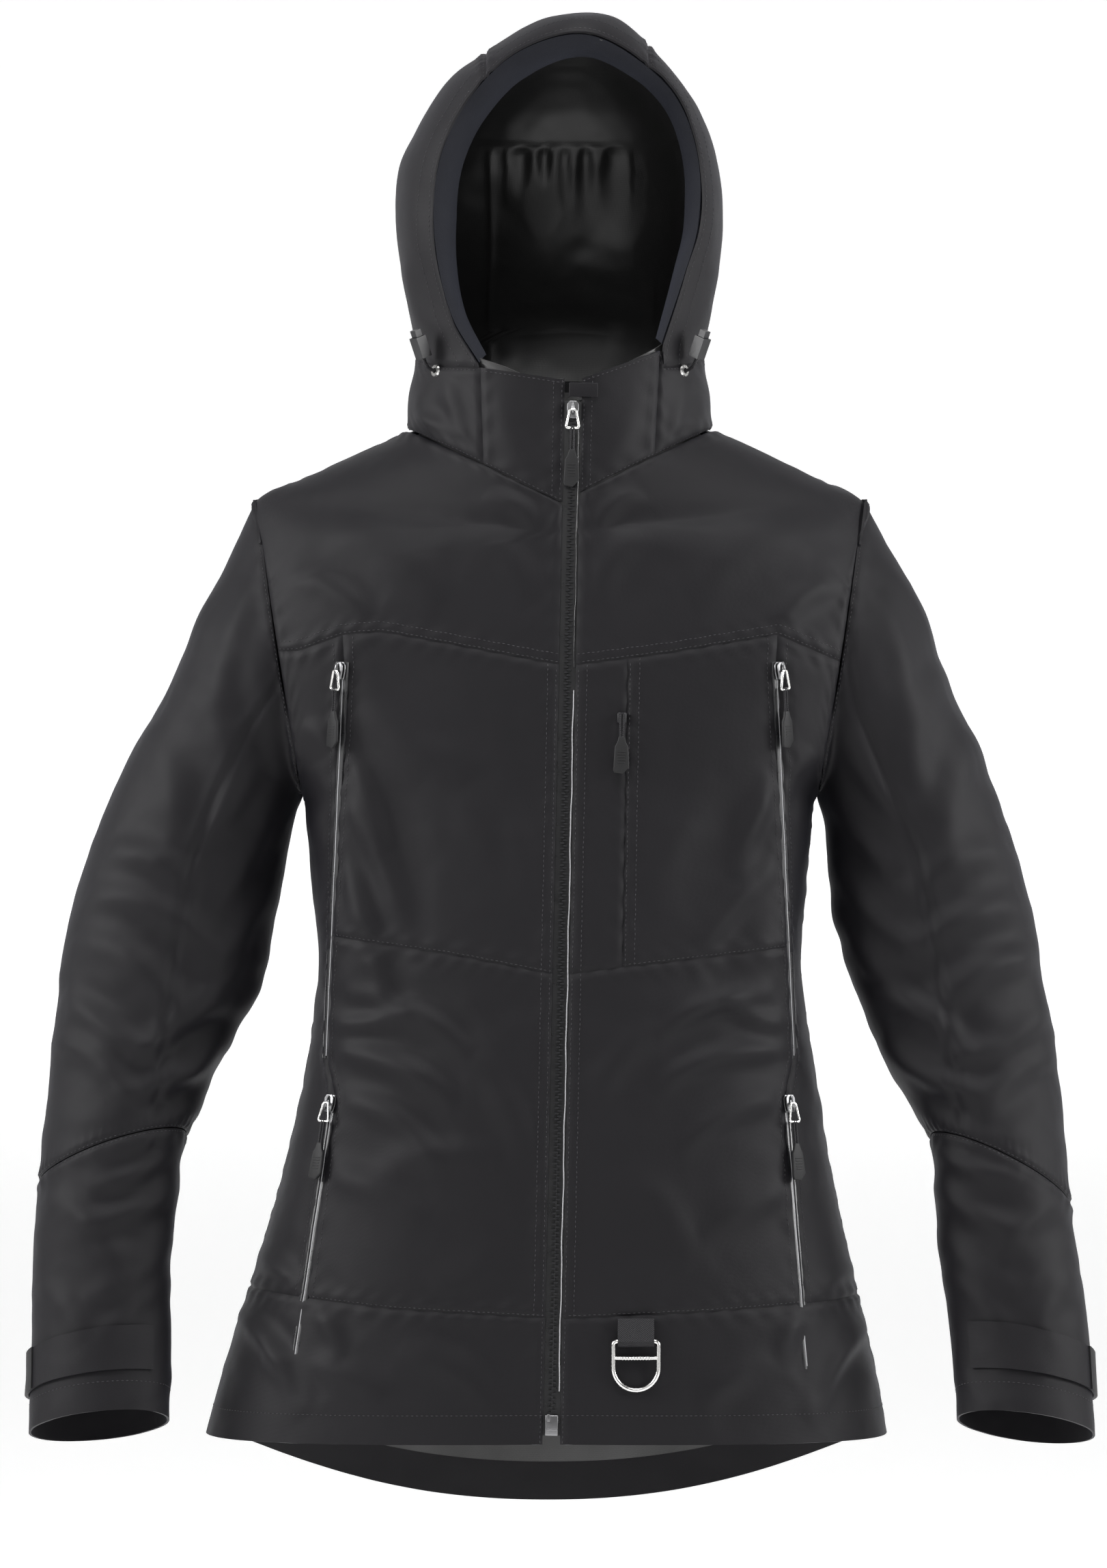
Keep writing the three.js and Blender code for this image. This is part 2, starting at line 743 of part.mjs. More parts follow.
const torsoPieces = namedPieces(cutAll(torsoShell, [
  armholeCutter(-1, 0),
  armholeCutter(1, 0),
  frontZipCutter(zipOpening / 2),
  hemFrontBackCut,
  hemCutFront,
  backHemSeam,
  frontCutter(bandOutline(yokeSeam, seamGap), sideSeamDepth),
  frontCutter(bandOutline(waistSeam.slice(0, 3), seamGap), zipDepthLimit),
  frontCutter(bandOutline(waistSeam.slice(2), seamGap), zipDepthLimit),
  frontCutter(bandOutline(chestPocketSeam, seamGap), zipDepthLimit),
  ...sides.map(({ sign }) => frontCutter(bandOutline(lowerPrincessSeam(sign), seamGap), -5)),
  ...sideZips.map((zip) => zipSlot(zip, 2 * clearance)),
]), {
  yoke_right: [-60, -95, 660],
  yoke_left: [60, -95, 660],
  back_panel: [0, 110, 500],
  chest_right: [-80, -100, 500],
  chest_left: [25, -105, 500],
  chest_pocket_panel: [100, -95, 500],
  lower_front_right: [-80, -115, 280],
  lower_front_left: [80, -115, 280],
  side_panel_right: [-170, -20, 420],
  side_panel_left: [170, -20, 420],
  hem_right: [-120, -120, 100],
  hem_left: [120, -120, 100],
  hem_back: [0, 125, 50],
});
Object.entries(torsoPieces).forEach(([name, geometry]) => {
  addPiece(name, geometry, name.startsWith('hem') ? hemCloth : shellCloth);
});

// The lining hangs just inside the shell, from the hem facing to the neck.
const liningRows = [bodyRow(frontHemHeight + 20, frontHemHeight + 18, 24), ...torsoRows.slice(1)];
const liningRings = liningRows.map((row) => ringOf(row, columns));
const liningDepth = fabricThickness + liningGap;
const liningInset = 4;
const bodyLining = cutAll(
  solidOf(wallGeometry(liningRings, liningDepth, liningDepth + liningThickness)),
  [
    armholeCutter(-1, liningInset),
    armholeCutter(1, liningInset),
    frontZipCutter(tapeWidth + 2 * liningInset),
    ...sideZips.map((zip) => zipSlot(zip, 2 * clearance)),
  ]);
addPiece('body_lining', geometryOf(bodyLining), liningCloth);

// ---------------------------------------------------------------- the collar and hood panels
const hoodRings = neckRings.map((row) => ringOf(row, columns));
// The seam between collar and hood, in side view: depth, then height.
const hoodSeam = [[-110, 0.016], [-55, 0.039], [0, 0.081], [90, 0.178], [140, 0.209]]
  .map(([depth, share]) => [depth, hoodLevel(share)]);
const hoodStripMiddle = 5;
const hoodStripHalfWidth = 57;
const collarSeams = [[[-52, 690], [-57, 850]], [[63, 690], [72, 850]]];
const eyeletAcross = 86;
const eyeletHeight = collarTopHeight + 7;

function hoodFace(by) {
  return frontCutter(outline(grown(faceOpening, faceCentre, by)), zipDepthLimit);
}

// A surface of one lofted body, for finding where a line leaves it.
function castingSurface(geometry) {
  const surface = new THREE.Mesh(geometry, new THREE.MeshBasicMaterial({ side: THREE.DoubleSide }));
  surface.updateMatrixWorld();
  return surface;
}

const hoodWall = wallGeometry(hoodRings, 0, fabricThickness, hoodPole);
const hoodSurface = castingSurface(hoodWall);

// The eyelet lies flat on the collar: its frame has Y into the garment and Z up.
function eyeletFrame(sign) {
  const caster = new THREE.Raycaster(
    new THREE.Vector3(sign * eyeletAcross, 0, eyeletHeight), new THREE.Vector3(0, -1, 0));
  const hit = caster.intersectObject(hoodSurface).pop();
  const inward = hit.face.normal.clone().negate();
  const up = new THREE.Vector3(0, 0, 1).addScaledVector(inward, -inward.z).normalize();
  const across = new THREE.Vector3().crossVectors(inward, up);
  return { place: hit.point, basis: new THREE.Matrix4().makeBasis(across, inward, up) };
}

function eyeletCutter(sign) {
  const { place, basis } = eyeletFrame(sign);
  const radius = cordDiameter / 2 + clearance;
  const geometry = new THREE.CylinderGeometry(radius, radius, 30, 12);
  geometry.applyMatrix4(placed(basis, place));
  return solidOf(geometry);
}

// The two seams over the hood start where they meet the collar's seam at the back.
function hoodStripCutter(sign) {
  const low = hoodLevel(0.152);
  const middle = new THREE.Matrix4().makeTranslation(
    hoodStripMiddle + sign * hoodStripHalfWidth, 0, low + reach / 2);
  return boxCutter([seamGap, 2 * reach, reach], middle);
}

const hoodPieces = namedPieces(cutAll(
  solidOf(hoodWall),
  [
    hoodFace(0),
    frontZipCutter(zipOpening / 2),
    sideCutter(bandOutline(hoodSeam, seamGap), 3 * reach),
    frontCutter(bandOutline(collarSeams[0], seamGap), zipDepthLimit),
    frontCutter(bandOutline(collarSeams[1], seamGap), zipDepthLimit),
    ...sides.map(({ sign }) => hoodStripCutter(sign)),
    eyeletCutter(-1),
    eyeletCutter(1),
  ]), {
  collar_front_right: [-25, -90, 750],
  collar_front_left: [35, -90, 750],
  collar_wrap: [0, 70, 800],
  hood_centre: [5, 115, 930],
  hood_right: [-112, 0, 920],
  hood_left: [112, 0, 920],
});
Object.entries(hoodPieces).forEach(([name, geometry]) => {
  addPiece(name, geometry, shellCloth);
});

// The hood's lining starts a little above the body's, so that the two don't meet.
const hoodLiningRings = neckRings.map((row) => ringOf(row, columns));
const neckLift = 3;
hoodLiningRings[0].forEach((point) => {
  point.z += neckLift;
});
const hoodLining = cutAll(
  solidOf(wallGeometry(hoodLiningRings, liningDepth, liningDepth + liningThickness, hoodPole)),
  [
    hoodFace(liningInset + 1),
    frontZipCutter(tapeWidth + 2 * liningInset),
    eyeletCutter(-1),
    eyeletCutter(1),
  ]);
const largestFirst = hoodLining.decompose().sort((a, b) => b.volume() - a.volume());
addPiece('hood_lining', geometryOf(largestFirst[0]), liningCloth);

// ---------------------------------------------------------------- the sleeves
function sleevePieces({ name, sign }) {
  const frame = armholeFrame(sign);
  const start = armholeRing(castingSurface(torsoWall), frame);
  const rings = [start, ...sleeveRows[name].map((row) => sleeveRing(row, sign))];
  const full = [rings[0], betweenRings(rings[0], rings[1], 0.5), ...rings.slice(1)];
  const outsideArmhole = (point) => {
    const gap = point.clone().sub(frame.centre).dot(frame.out);
    const besideArmhole = point.z > armpitHeight - fabricThickness;
    if (besideArmhole && gap < seamGap) {
      point.addScaledVector(frame.out, seamGap - gap);
    }
  };
  const split = elbowRow + 2;
  const upper = full.slice(0, split + 1);
  const lower = full.slice(split);
  // The rows narrow round the bend, so the gap is set where they are closest.
  const closest = Math.min(...lower[0].map((point, i) => point.distanceTo(lower[1][i])));
  lower[0] = betweenRings(lower[0], lower[1], seamGap / closest);
  addPiece(`upper_sleeve_${name}`, wallGeometry(upper, 0, fabricThickness, null, outsideArmhole), shellCloth);
  addPiece(`forearm_sleeve_${name}`, wallGeometry(lower, 0, fabricThickness), shellCloth);
  return full;
}
const sleeves = {};
sides.forEach((side) => {
  sleeves[side.name] = sleevePieces(side);
});

// ---------------------------------------------------------------- cuff tabs
// A strap laid on the front of the cuff, from its sewn inner end round to the outer edge.
function cuffTab({ name }) {
  const rows = sleeves[name];
  const cuffEdge = rows[rows.length - 1];
  const high = rows[rows.length - 2];
  const low = betweenRings(cuffEdge, high, cuffTabRise / cuffEdge[0].distanceTo(high[0]));
  const first = Math.round(sleeveColumns * 0.5) + 2;
  const last = sleeveColumns + 1;
  const rings = [];
  const grow = clearance;
  const centreOf = (ring) => ring.reduce((sum, point) => sum.add(point), new THREE.Vector3())
    .divideScalar(ring.length);
  const corner = (ring, i, out) => {
    const point = ring[i % sleeveColumns].clone();
    const away = point.clone().sub(centreOf(ring));
    return point.addScaledVector(away.normalize(), out);
  };
  const tall = low[0].distanceTo(high[0]);
  const upper = betweenRings(low, high, Math.min(cuffTabWidth / tall, 1));
  for (let i = first; i <= last; i += 1) {
    rings.push([
      corner(low, i, grow), corner(upper, i, grow),
      corner(upper, i, grow + cuffTabThickness), corner(low, i, grow + cuffTabThickness),
    ]);
  }
  const positions = [];
  const faces = [];
  rings.forEach((ring) => ring.forEach((point) => positions.push(point.x, point.y, point.z)));
  const quad = (a, b, c, d) => faces.push(a, b, c, a, c, d);
  for (let r = 0; r < rings.length - 1; r += 1) {
    for (let k = 0; k < 4; k += 1) {
      quad(r * 4 + k, r * 4 + ((k + 1) % 4), (r + 1) * 4 + ((k + 1) % 4), (r + 1) * 4 + k);
    }
  }
  const end = (rings.length - 1) * 4;
  quad(3, 2, 1, 0);
  quad(end, end + 1, end + 2, end + 3);
  const geometry = new THREE.BufferGeometry();
  geometry.setAttribute('position', new THREE.Float32BufferAttribute(positions, 3));
  geometry.setIndex(faces);
  addPiece(`cuff_tab_${name}`, facingOut(geometry), rubber);
}
sides.forEach(cuffTab);

// ---------------------------------------------------------------- zips
// In a zip's frame X runs across it, Y into the garment and Z up the zip.
function zipGroup(frame, origin) {
  const group = new THREE.Group();
  group.applyMatrix4(placed(frame, origin));
  garment.add(group);
  return group;
}

function barAt(parent, name, size, place, makeMaterial) {
  const bar = addPiece(name, new THREE.BoxGeometry(...size), makeMaterial, parent);
  bar.position.set(...place);
  return bar;
}

// A flat shape drawn across and up, given a thickness in depth, centred on its plane.
function plate(shape, thickness) {
  const geometry = new THREE.ExtrudeGeometry(
    shape, { depth: thickness, bevelEnabled: false, curveSegments: 8 });
  geometry.translate(0, 0, -thickness / 2);
  geometry.rotateX(Math.PI / 2);
  return geometry;
}

function sliderOutline(width, length) {
  const oneSide = [
    [0.36 * width, 0], [0.5 * width, 0.45 * length], [0.5 * width, 0.8 * length], [0.3 * width, length],
  ];
  const otherSide = oneSide.map(([x, y]) => [-x, y]).reverse();
  return outline([...oneSide, ...otherSide]);
}

// The wire bail hangs from height 0; the tab hangs from its lower bar.
const bailTopWidth = 0.55 * bailWidth;
function bailCorners() {
  return [[-bailTopWidth / 2, wireThickness / 2], [-bailWidth / 2, -bailLength], [bailWidth / 2, -bailLength],
    [bailTopWidth / 2, wireThickness / 2]];
}

function bailHole() {
  const wire = wireThickness;
  return new THREE.Path([[-bailTopWidth / 2 + wire, -wire / 2], [bailTopWidth / 2 - wire, -wire / 2],
    [bailWidth / 2 - wire * 1.1, -bailLength + wire], [-bailWidth / 2 + wire * 1.1, -bailLength + wire]]
    .map(([x, y]) => new THREE.Vector2(x, y)));
}

function tabCorners(top) {
  const stem = top - tabStemLength;
  const end = stem - tabLength;
  return [[-tabStemWidth / 2, top], [-tabStemWidth / 2, stem], [-0.42 * tabWidth, stem - 3],
    [-0.5 * tabWidth, end + 3], [0.1 * tabWidth, end], [0.5 * tabWidth, end + 5],
    [0.42 * tabWidth, stem - 3], [tabStemWidth / 2, stem], [tabStemWidth / 2, top]];
}

// Depths are counted from the fabric's surface. A slider rides in front of its teeth and
// the pull hangs in front of the slider, with room for the bail's end to turn.
const sideZipFront = -0.3;
const pullRoom = 2 * clearance;

function pullDepth(sliderBack) {
  return sliderBack - sliderHeight - pullRoom - tabThickness / 2;
}

function slider(parent, name, top, back) {
  const body = plate(sliderOutline(sliderWidth, sliderLength), sliderHeight);
  const mesh = addPiece(name, body, darkNickel, parent);
  mesh.position.set(0, back - sliderHeight / 2, top - sliderLength);
}

function joinedPull() {
  const [topLeft, lowLeft, lowRight, topRight] = bailCorners();
  const shape = outline([topLeft, lowLeft, ...tabCorners(-bailLength), lowRight, topRight]);
  shape.holes.push(bailHole());
  return plate(shape, tabThickness);
}

sideZips.forEach(({ label, top, frame, length }) => {
  const group = zipGroup(frame, top);
  barAt(group, label, [sideZipWidth, sideZipThickness, length],
    [0, sideZipFront + sideZipThickness / 2, -length / 2], zipCoil);
  slider(group, `${label}_slider`, -clearance, sideZipFront - clearance);
  const pull = addPiece(`${label}_pull`, joinedPull(), nickel, group);
  pull.position.set(0, pullDepth(sideZipFront - clearance), -sliderLength / 2);
});

const tapeDepth = fabricThickness + 2 * liningGap;
const retainerLength = 14;
const mainZip = zipGroup(mainFrame, zipBottom);
const mainLength = zipBottom.distanceTo(zipTop);
sides.forEach(({ name, sign }) => {
  barAt(mainZip, `main_zip_tape_${name}`, [tapeWidth, tapeThickness, mainLength],
    [sign * (tapeWidth / 2 + clearance / 2), tapeDepth + tapeThickness / 2, mainLength / 2], zipTape);
});
const coilLength = mainLength - retainerLength - clearance;
barAt(mainZip, 'main_zip_coil', [coilWidth, coilThickness, coilLength],
  [0, tapeDepth - clearance - coilThickness / 2, mainLength - coilLength / 2], zipCoil);
const retainerWidth = sliderWidth + 1;
const retainerThickness = coilThickness + 1.5;
barAt(mainZip, 'main_zip_retainer', [retainerWidth, retainerThickness, retainerLength],
  [0, tapeDepth - clearance - retainerThickness / 2, retainerLength / 2], darkNickel);
const mainSliderBack = tapeDepth - 2 * clearance - coilThickness;
slider(mainZip, 'main_zip_slider', mainLength - clearance, mainSliderBack);
const mainBail = outline(bailCorners());
mainBail.holes.push(bailHole());
const bail = addPiece('main_zip_bail', plate(mainBail, wireThickness), nickel, mainZip);
bail.position.set(0, pullDepth(mainSliderBack), mainLength - sliderLength / 2);
const mainTabShape = outline(tabCorners(-bailLength - clearance));
const mainTab = addPiece('main_zip_tab', plate(mainTabShape, tabThickness), rubber, mainZip);
mainTab.position.copy(bail.position);

// The garage is a small flap sewn at the top of the wearer's left collar edge.
const garageSink = 0.3;
barAt(mainZip, 'zip_garage', [garageWidth, garageThickness, garageHeight],
  [zipOpening / 2 + 1, garageSink - garageThickness / 2, mainLength + garageHeight / 2 + garageLift],
  shellCloth);

// ---------------------------------------------------------------- chest pocket pull
const chestZipHeight = 556;
const chestZipAcross = 42.5;
const chestZipRun = 156;
const chestZipLean = 3.1;
const chestZipLow = chestZipHeight - chestZipRun;
const chestTop = new THREE.Vector3(
  chestZipAcross, frontSurface(chestZipAcross, chestZipHeight), chestZipHeight);
const chestLow = new THREE.Vector3(
  chestZipAcross - chestZipLean, frontSurface(chestZipAcross, chestZipLow), chestZipLow);
const chestFrame = zipFrame(chestTop, chestLow, frontNormal(1, chestZipAcross, chestZipHeight));
const chestZip = zipGroup(chestFrame, chestTop);
const chestSliderHeight = 3;
const chestSlider = addPiece('chest_zip_slider',
  plate(sliderOutline(sliderWidth - 1, sliderLength - 3), chestSliderHeight), plastic, chestZip);
chestSlider.position.set(0, -chestSliderHeight / 2, 0);
const chestPull = addPiece('chest_zip_pull', plate(outline(tabCorners(0)), tabThickness), rubber, chestZip);
chestPull.position.set(0, -chestSliderHeight - clearance - tabThickness / 2, sliderLength / 2);

// ---------------------------------------------------------------- lift-pass ring on its webbing
const ringAxisHeight = ringTopHeight - ringThickness / 2;
const ringBarClearance = Math.SQRT1_2 * ringThickness + clearance;
const loopRadius = ringBarClearance + webbingThickness;
const ringAcrossFromCentre = ringAcross - along(centreKeys, ringAxisHeight);
const webbingEdge = ringAcrossFromCentre - webbingWidth / 2;
const webbingSeat = 0.05;
const ringAxisDepth = frontSurface(webbingEdge, ringAxisHeight) - webbingSeat - loopRadius;
const webbingRise = hemSeam[3][1] - ringAxisHeight;
const webbingLean = frontSurface(webbingEdge, hemSeam[3][1]) - webbingSeat - ringAxisDepth;
const ringGroup = new THREE.Group();
ringGroup.position.set(ringAcross, ringAxisDepth, ringAxisHeight);
garment.add(ringGroup);

const strap = new THREE.Shape();
strap.absarc(0, 0, loopRadius, Math.PI, 2 * Math.PI, false);
strap.lineTo(webbingLean, webbingRise);
strap.lineTo(webbingLean - 2 * webbingThickness, webbingRise);
strap.closePath();
const barHole = new THREE.Path();
barHole.absarc(0, 0, ringBarClearance, 0, 2 * Math.PI, true);
strap.holes.push(barHole);
const strapGeometry = new THREE.ExtrudeGeometry(
  strap, { depth: webbingWidth, bevelEnabled: false, curveSegments: 8 });
strapGeometry.translate(0, 0, -webbingWidth / 2);
strapGeometry.applyMatrix4(new THREE.Matrix4().makeBasis(
  new THREE.Vector3(0, 1, 0), new THREE.Vector3(0, 0, 1), new THREE.Vector3(1, 0, 0)));
addPiece('ring_webbing', strapGeometry, webbing, ringGroup);

const ringHalf = ringWidth / 2;
const bowHeight = ringThickness / 2 - ringHeight + ringHalf;
function bowPath(half, top) {
  const path = new THREE.Shape();
  path.moveTo(-half, top);
  path.lineTo(-half, bowHeight);
  path.absarc(0, bowHeight, half, Math.PI, 2 * Math.PI, false);
  path.lineTo(half, top);
  path.closePath();
  return path;
}
const ringShape = bowPath(ringHalf, ringThickness / 2);
const slotHalf = ringHalf - ringThickness;
const slotLow = -ringCrossDrop + ringCrossBar / 2;
const slotCorners = [
  [-slotHalf, -ringThickness / 2], [slotHalf, -ringThickness / 2], [slotHalf, slotLow], [-slotHalf, slotLow],
];
ringShape.holes.push(new THREE.Path(slotCorners.map(([x, y]) => new THREE.Vector2(x, y))));
ringShape.holes.push(bowPath(slotHalf, -ringCrossDrop - ringCrossBar / 2));
addPiece('lift_pass_ring', plate(ringShape, ringThickness), nickel, ringGroup);

// ---------------------------------------------------------------- hood cord, eyelets and locks
const lockTilt = THREE.MathUtils.degToRad(28);
sides.forEach(({ name, sign }) => {
  const { place, basis } = eyeletFrame(sign);
  const group = zipGroup(basis, place);
  const washer = [[eyeletHole, -clearance], [eyeletHole, -clearance - eyeletThickness],
    [eyeletRadius - 0.5, -clearance - eyeletThickness], [eyeletRadius, -clearance],
    [eyeletHole, -clearance]].map(([x, y]) => new THREE.Vector2(x, y));
  addPiece(`eyelet_${name}`, new THREE.LatheGeometry(washer, 16), nickel, group);

  const bend = new THREE.CatmullRomCurve3([[0, 4, 0], [0, -3, 0], [0, -8, 2], [0, -11.5, 7]]
    .map((point) => new THREE.Vector3(...point)));
  const section = new THREE.Shape();
  section.absarc(0, 0, cordDiameter / 2, 0, 2 * Math.PI, false);
  addPiece(`hood_cord_${name}`, new THREE.ExtrudeGeometry(section,
    { steps: 6, extrudePath: bend, curveSegments: 4 }), webbing, group);

  const lock = new THREE.Group();
  const end = bend.getPoint(1);
  lock.position.set(end.x, end.y, end.z + 1);
  lock.rotation.x = lockTilt;
  group.add(lock);
  const stem = [lockWidth - 2 * lockWall, lockDepth - 2 * lockWall, plungerLength];
  const pocketDepth = plungerLength / 2 + lockTravel + clearance;
  const body = new THREE.BoxGeometry(lockWidth, lockDepth, lockLength);
  const pocket = new THREE.BoxGeometry(stem[0] + 2 * clearance, stem[1] + 2 * clearance, 2 * pocketDepth);
  pocket.translate(0, 0, lockLength / 2);
  const hollowed = geometryOf(solidOf(body).subtract(solidOf(pocket)));
  const lockBody = addPiece(`cord_lock_${name}`, hollowed, plastic, lock);
  lockBody.position.z = lockLength / 2;
  barAt(lock, `cord_lock_plunger_${name}`, stem, [0, 0, lockLength], plastic);
});

// ---------------------------------------------------------------- hanger loop inside the back neck
const hangerHeight = neckBackHeight + 12;
const hangerInner = 0.5 * (hangerSpan - hangerThickness);
const hangerLift = 2.6;
const hangerDepth = neckBackDepth + 2 - liningDepth - liningThickness - hangerLift;
const arch = new THREE.Shape();
const archPoints = [];
for (let i = 0; i <= 12; i += 1) {
  const t = (Math.PI * i) / 12;
  archPoints.push([-Math.cos(t) * (hangerSpan / 2), -Math.sin(t) * hangerRise]);
}
for (let i = 12; i >= 0; i -= 1) {
  const t = (Math.PI * i) / 12;
  archPoints.push([-Math.cos(t) * hangerInner, -Math.sin(t) * (hangerRise - hangerThickness)]);
}
archPoints.forEach(([x, y], i) => (i ? arch.lineTo(x, y) : arch.moveTo(x, y)));
const loopGeometry = new THREE.ExtrudeGeometry(arch, { depth: hangerStrap, bevelEnabled: false });
const hanger = addPiece('hanger_loop', loopGeometry, webbing);
hanger.position.set(0, hangerDepth, hangerHeight - hangerStrap / 2);

garment.position.set(-hanger.position.x, -hanger.position.y, -hangerHeight);

export default jacket;
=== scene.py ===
# %% [markdown]
# # A hooded ski shell jacket
# The jacket stands as if someone wore it, with its hood up. The hard parts come from the frame. This
# notebook makes the cloth, the zips and the small fittings round them. All sizes in the cloth cells
# are millimetres on the jacket, counted up from the lowest point of its dropped back hem.

# %% The frame
import json
import math

import bpy
import numpy as np
from mathutils import Matrix, Vector
from mathutils.bvhtree import BVHTree


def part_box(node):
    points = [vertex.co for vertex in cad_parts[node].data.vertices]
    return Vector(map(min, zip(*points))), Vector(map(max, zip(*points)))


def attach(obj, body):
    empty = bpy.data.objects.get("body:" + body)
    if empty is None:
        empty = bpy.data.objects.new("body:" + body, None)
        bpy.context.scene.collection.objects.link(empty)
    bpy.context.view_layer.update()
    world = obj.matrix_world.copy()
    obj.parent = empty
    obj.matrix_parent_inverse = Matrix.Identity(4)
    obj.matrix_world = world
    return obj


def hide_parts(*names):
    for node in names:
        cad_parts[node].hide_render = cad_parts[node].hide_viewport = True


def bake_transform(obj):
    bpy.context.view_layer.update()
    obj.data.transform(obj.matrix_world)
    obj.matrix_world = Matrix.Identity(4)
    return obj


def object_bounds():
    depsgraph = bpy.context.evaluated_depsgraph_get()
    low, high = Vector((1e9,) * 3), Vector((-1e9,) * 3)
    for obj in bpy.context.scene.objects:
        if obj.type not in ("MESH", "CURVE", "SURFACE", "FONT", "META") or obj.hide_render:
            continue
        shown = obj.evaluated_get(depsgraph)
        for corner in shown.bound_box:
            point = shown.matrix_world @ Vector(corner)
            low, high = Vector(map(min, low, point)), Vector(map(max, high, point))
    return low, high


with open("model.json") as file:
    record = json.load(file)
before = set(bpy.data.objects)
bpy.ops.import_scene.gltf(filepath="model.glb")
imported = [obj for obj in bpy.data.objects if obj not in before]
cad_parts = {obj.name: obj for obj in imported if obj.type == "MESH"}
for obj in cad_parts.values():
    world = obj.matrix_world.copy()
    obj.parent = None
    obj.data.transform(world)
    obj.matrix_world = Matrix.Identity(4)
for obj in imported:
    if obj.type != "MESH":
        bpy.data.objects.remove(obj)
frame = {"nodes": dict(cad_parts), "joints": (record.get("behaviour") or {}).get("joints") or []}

cad_low, cad_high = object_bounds()
hem_back_depth = 128.0
ground = 1000 * cad_low.z
set_back = 1000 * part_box("hem_back")[1].y - hem_back_depth
print("frame", [round(v, 3) for v in (*cad_low, *cad_high)], "set back", round(set_back, 2))


def to_frame(points):
    """Jacket millimetres to the frame's metres."""
    return (np.asarray(points, float) + (0, set_back, ground)) / 1000


# %% [markdown]
# ## Camera, floor and light
# Clothes are shot on a white ground with large soft lamps, because small lamps burn hot spots into
# coated cloth. The camera stands well back, so that the sleeves don't swell beside the body. Two big
# lamps at the sides graze the folds, one from above fills the hood and shoulders.

# %% Camera and studio
bpy.ops.object.select_all(action="DESELECT")
camera_distance = 5.0
view_height = 1.093
middle = Vector((-0.0045, -0.1, -0.2815))
bpy.ops.object.camera_add(location=middle - Vector((0, camera_distance, 0)), rotation=(math.pi / 2, 0, 0))
camera = bpy.context.object
camera.data.sensor_width = 36
camera.data.lens = 36 * camera_distance / view_height
bpy.context.scene.camera = camera

floor_drop = 0.5
bpy.ops.mesh.primitive_plane_add(size=90, location=(0, 0, cad_low.z - floor_drop))
floor = bpy.context.object
floor.name = "studio_floor"
bpy.ops.mesh.primitive_plane_add(size=60, location=(0, 20, 20), rotation=(math.pi / 2, 0, 0))
backdrop = bpy.context.object
backdrop.name = "studio_backdrop"
paper = bpy.data.materials.new("studio_paper")
paper.use_nodes = True
paper_shader = paper.node_tree.nodes["Principled BSDF"]
paper_shader.inputs["Base Color"].default_value = (0.9, 0.9, 0.9, 1)
paper_shader.inputs["Roughness"].default_value = 0.9
paper_shader.inputs["Emission Color"].default_value = (1, 1, 1, 1)
paper_shader.inputs["Emission Strength"].default_value = 0.55
for sheet_of_paper in (floor, backdrop):
    sheet_of_paper.data.materials.append(paper)


def lamp(name, place, size, power, target=(0, 0, -0.25)):
    bpy.ops.object.light_add(type="AREA", location=place)
    light = bpy.context.object
    light.name = name
    light.data.size = size
    light.data.energy = power
    aim = Vector(target) - Vector(place)
    light.rotation_euler = aim.to_track_quat("-Z", "Y").to_euler()
    return light


lamp("lamp_left", (-2.4, -0.9, 0.7), 1.2, 112)
lamp("lamp_right", (2.4, -0.7, 0.4), 1.2, 88)
lamp("lamp_top", (0.2, -1.0, 2.3), 1.4, 90)
lamp("lamp_front", (-0.8, -3.6, 1.2), 1.6, 15)
world = bpy.context.scene.world or bpy.data.worlds.new("studio")
bpy.context.scene.world = world
world.use_nodes = True
world.node_tree.nodes["Background"].inputs["Color"].default_value = (1, 1, 1, 1)
world.node_tree.nodes["Background"].inputs["Strength"].default_value = 0.1
bpy.context.scene.view_settings.view_transform = "Standard"
print("camera lens", round(camera.data.lens, 1), "mm")

# %% [markdown]
# ## Writing shaders as sums
# A weave is easier to read as `across.sine() * up.sine()` than as four wired boxes. `Wire` stands for
# one node's output, and Python's operators on it add Math nodes. Every other node comes from
# `Recipe.node`.


# %% The shader toolkit
class Wire:
    """An output of a node. Sums and products on it add Math nodes."""

    def __init__(self, recipe, output):
        self.recipe = recipe
        self.output = output

    def maths(self, operation, first, second=0.0):
        return self.recipe.node("ShaderNodeMath", {"operation": operation}, {0: first, 1: second})

    def __add__(self, other):
        return self.maths("ADD", self, other)

    def __radd__(self, other):
        return self.maths("ADD", other, self)

    def __sub__(self, other):
        return self.maths("SUBTRACT", self, other)

    def __rsub__(self, other):
        return self.maths("SUBTRACT", other, self)

    def __mul__(self, other):
        return self.maths("MULTIPLY", self, other)

    def __rmul__(self, other):
        return self.maths("MULTIPLY", other, self)

    def __truediv__(self, other):
        return self.maths("DIVIDE", self, other)

    def __rtruediv__(self, other):
        return self.maths("DIVIDE", other, self)

    def sine(self):
        return self.maths("SINE", self)

    def size(self):
        return self.maths("ABSOLUTE", self)

    def above(self, limit):
        return self.maths("GREATER_THAN", self, limit)

    def part(self, name):
        """Another output of the same node."""
        return Wire(self.recipe, self.output.node.outputs[name])


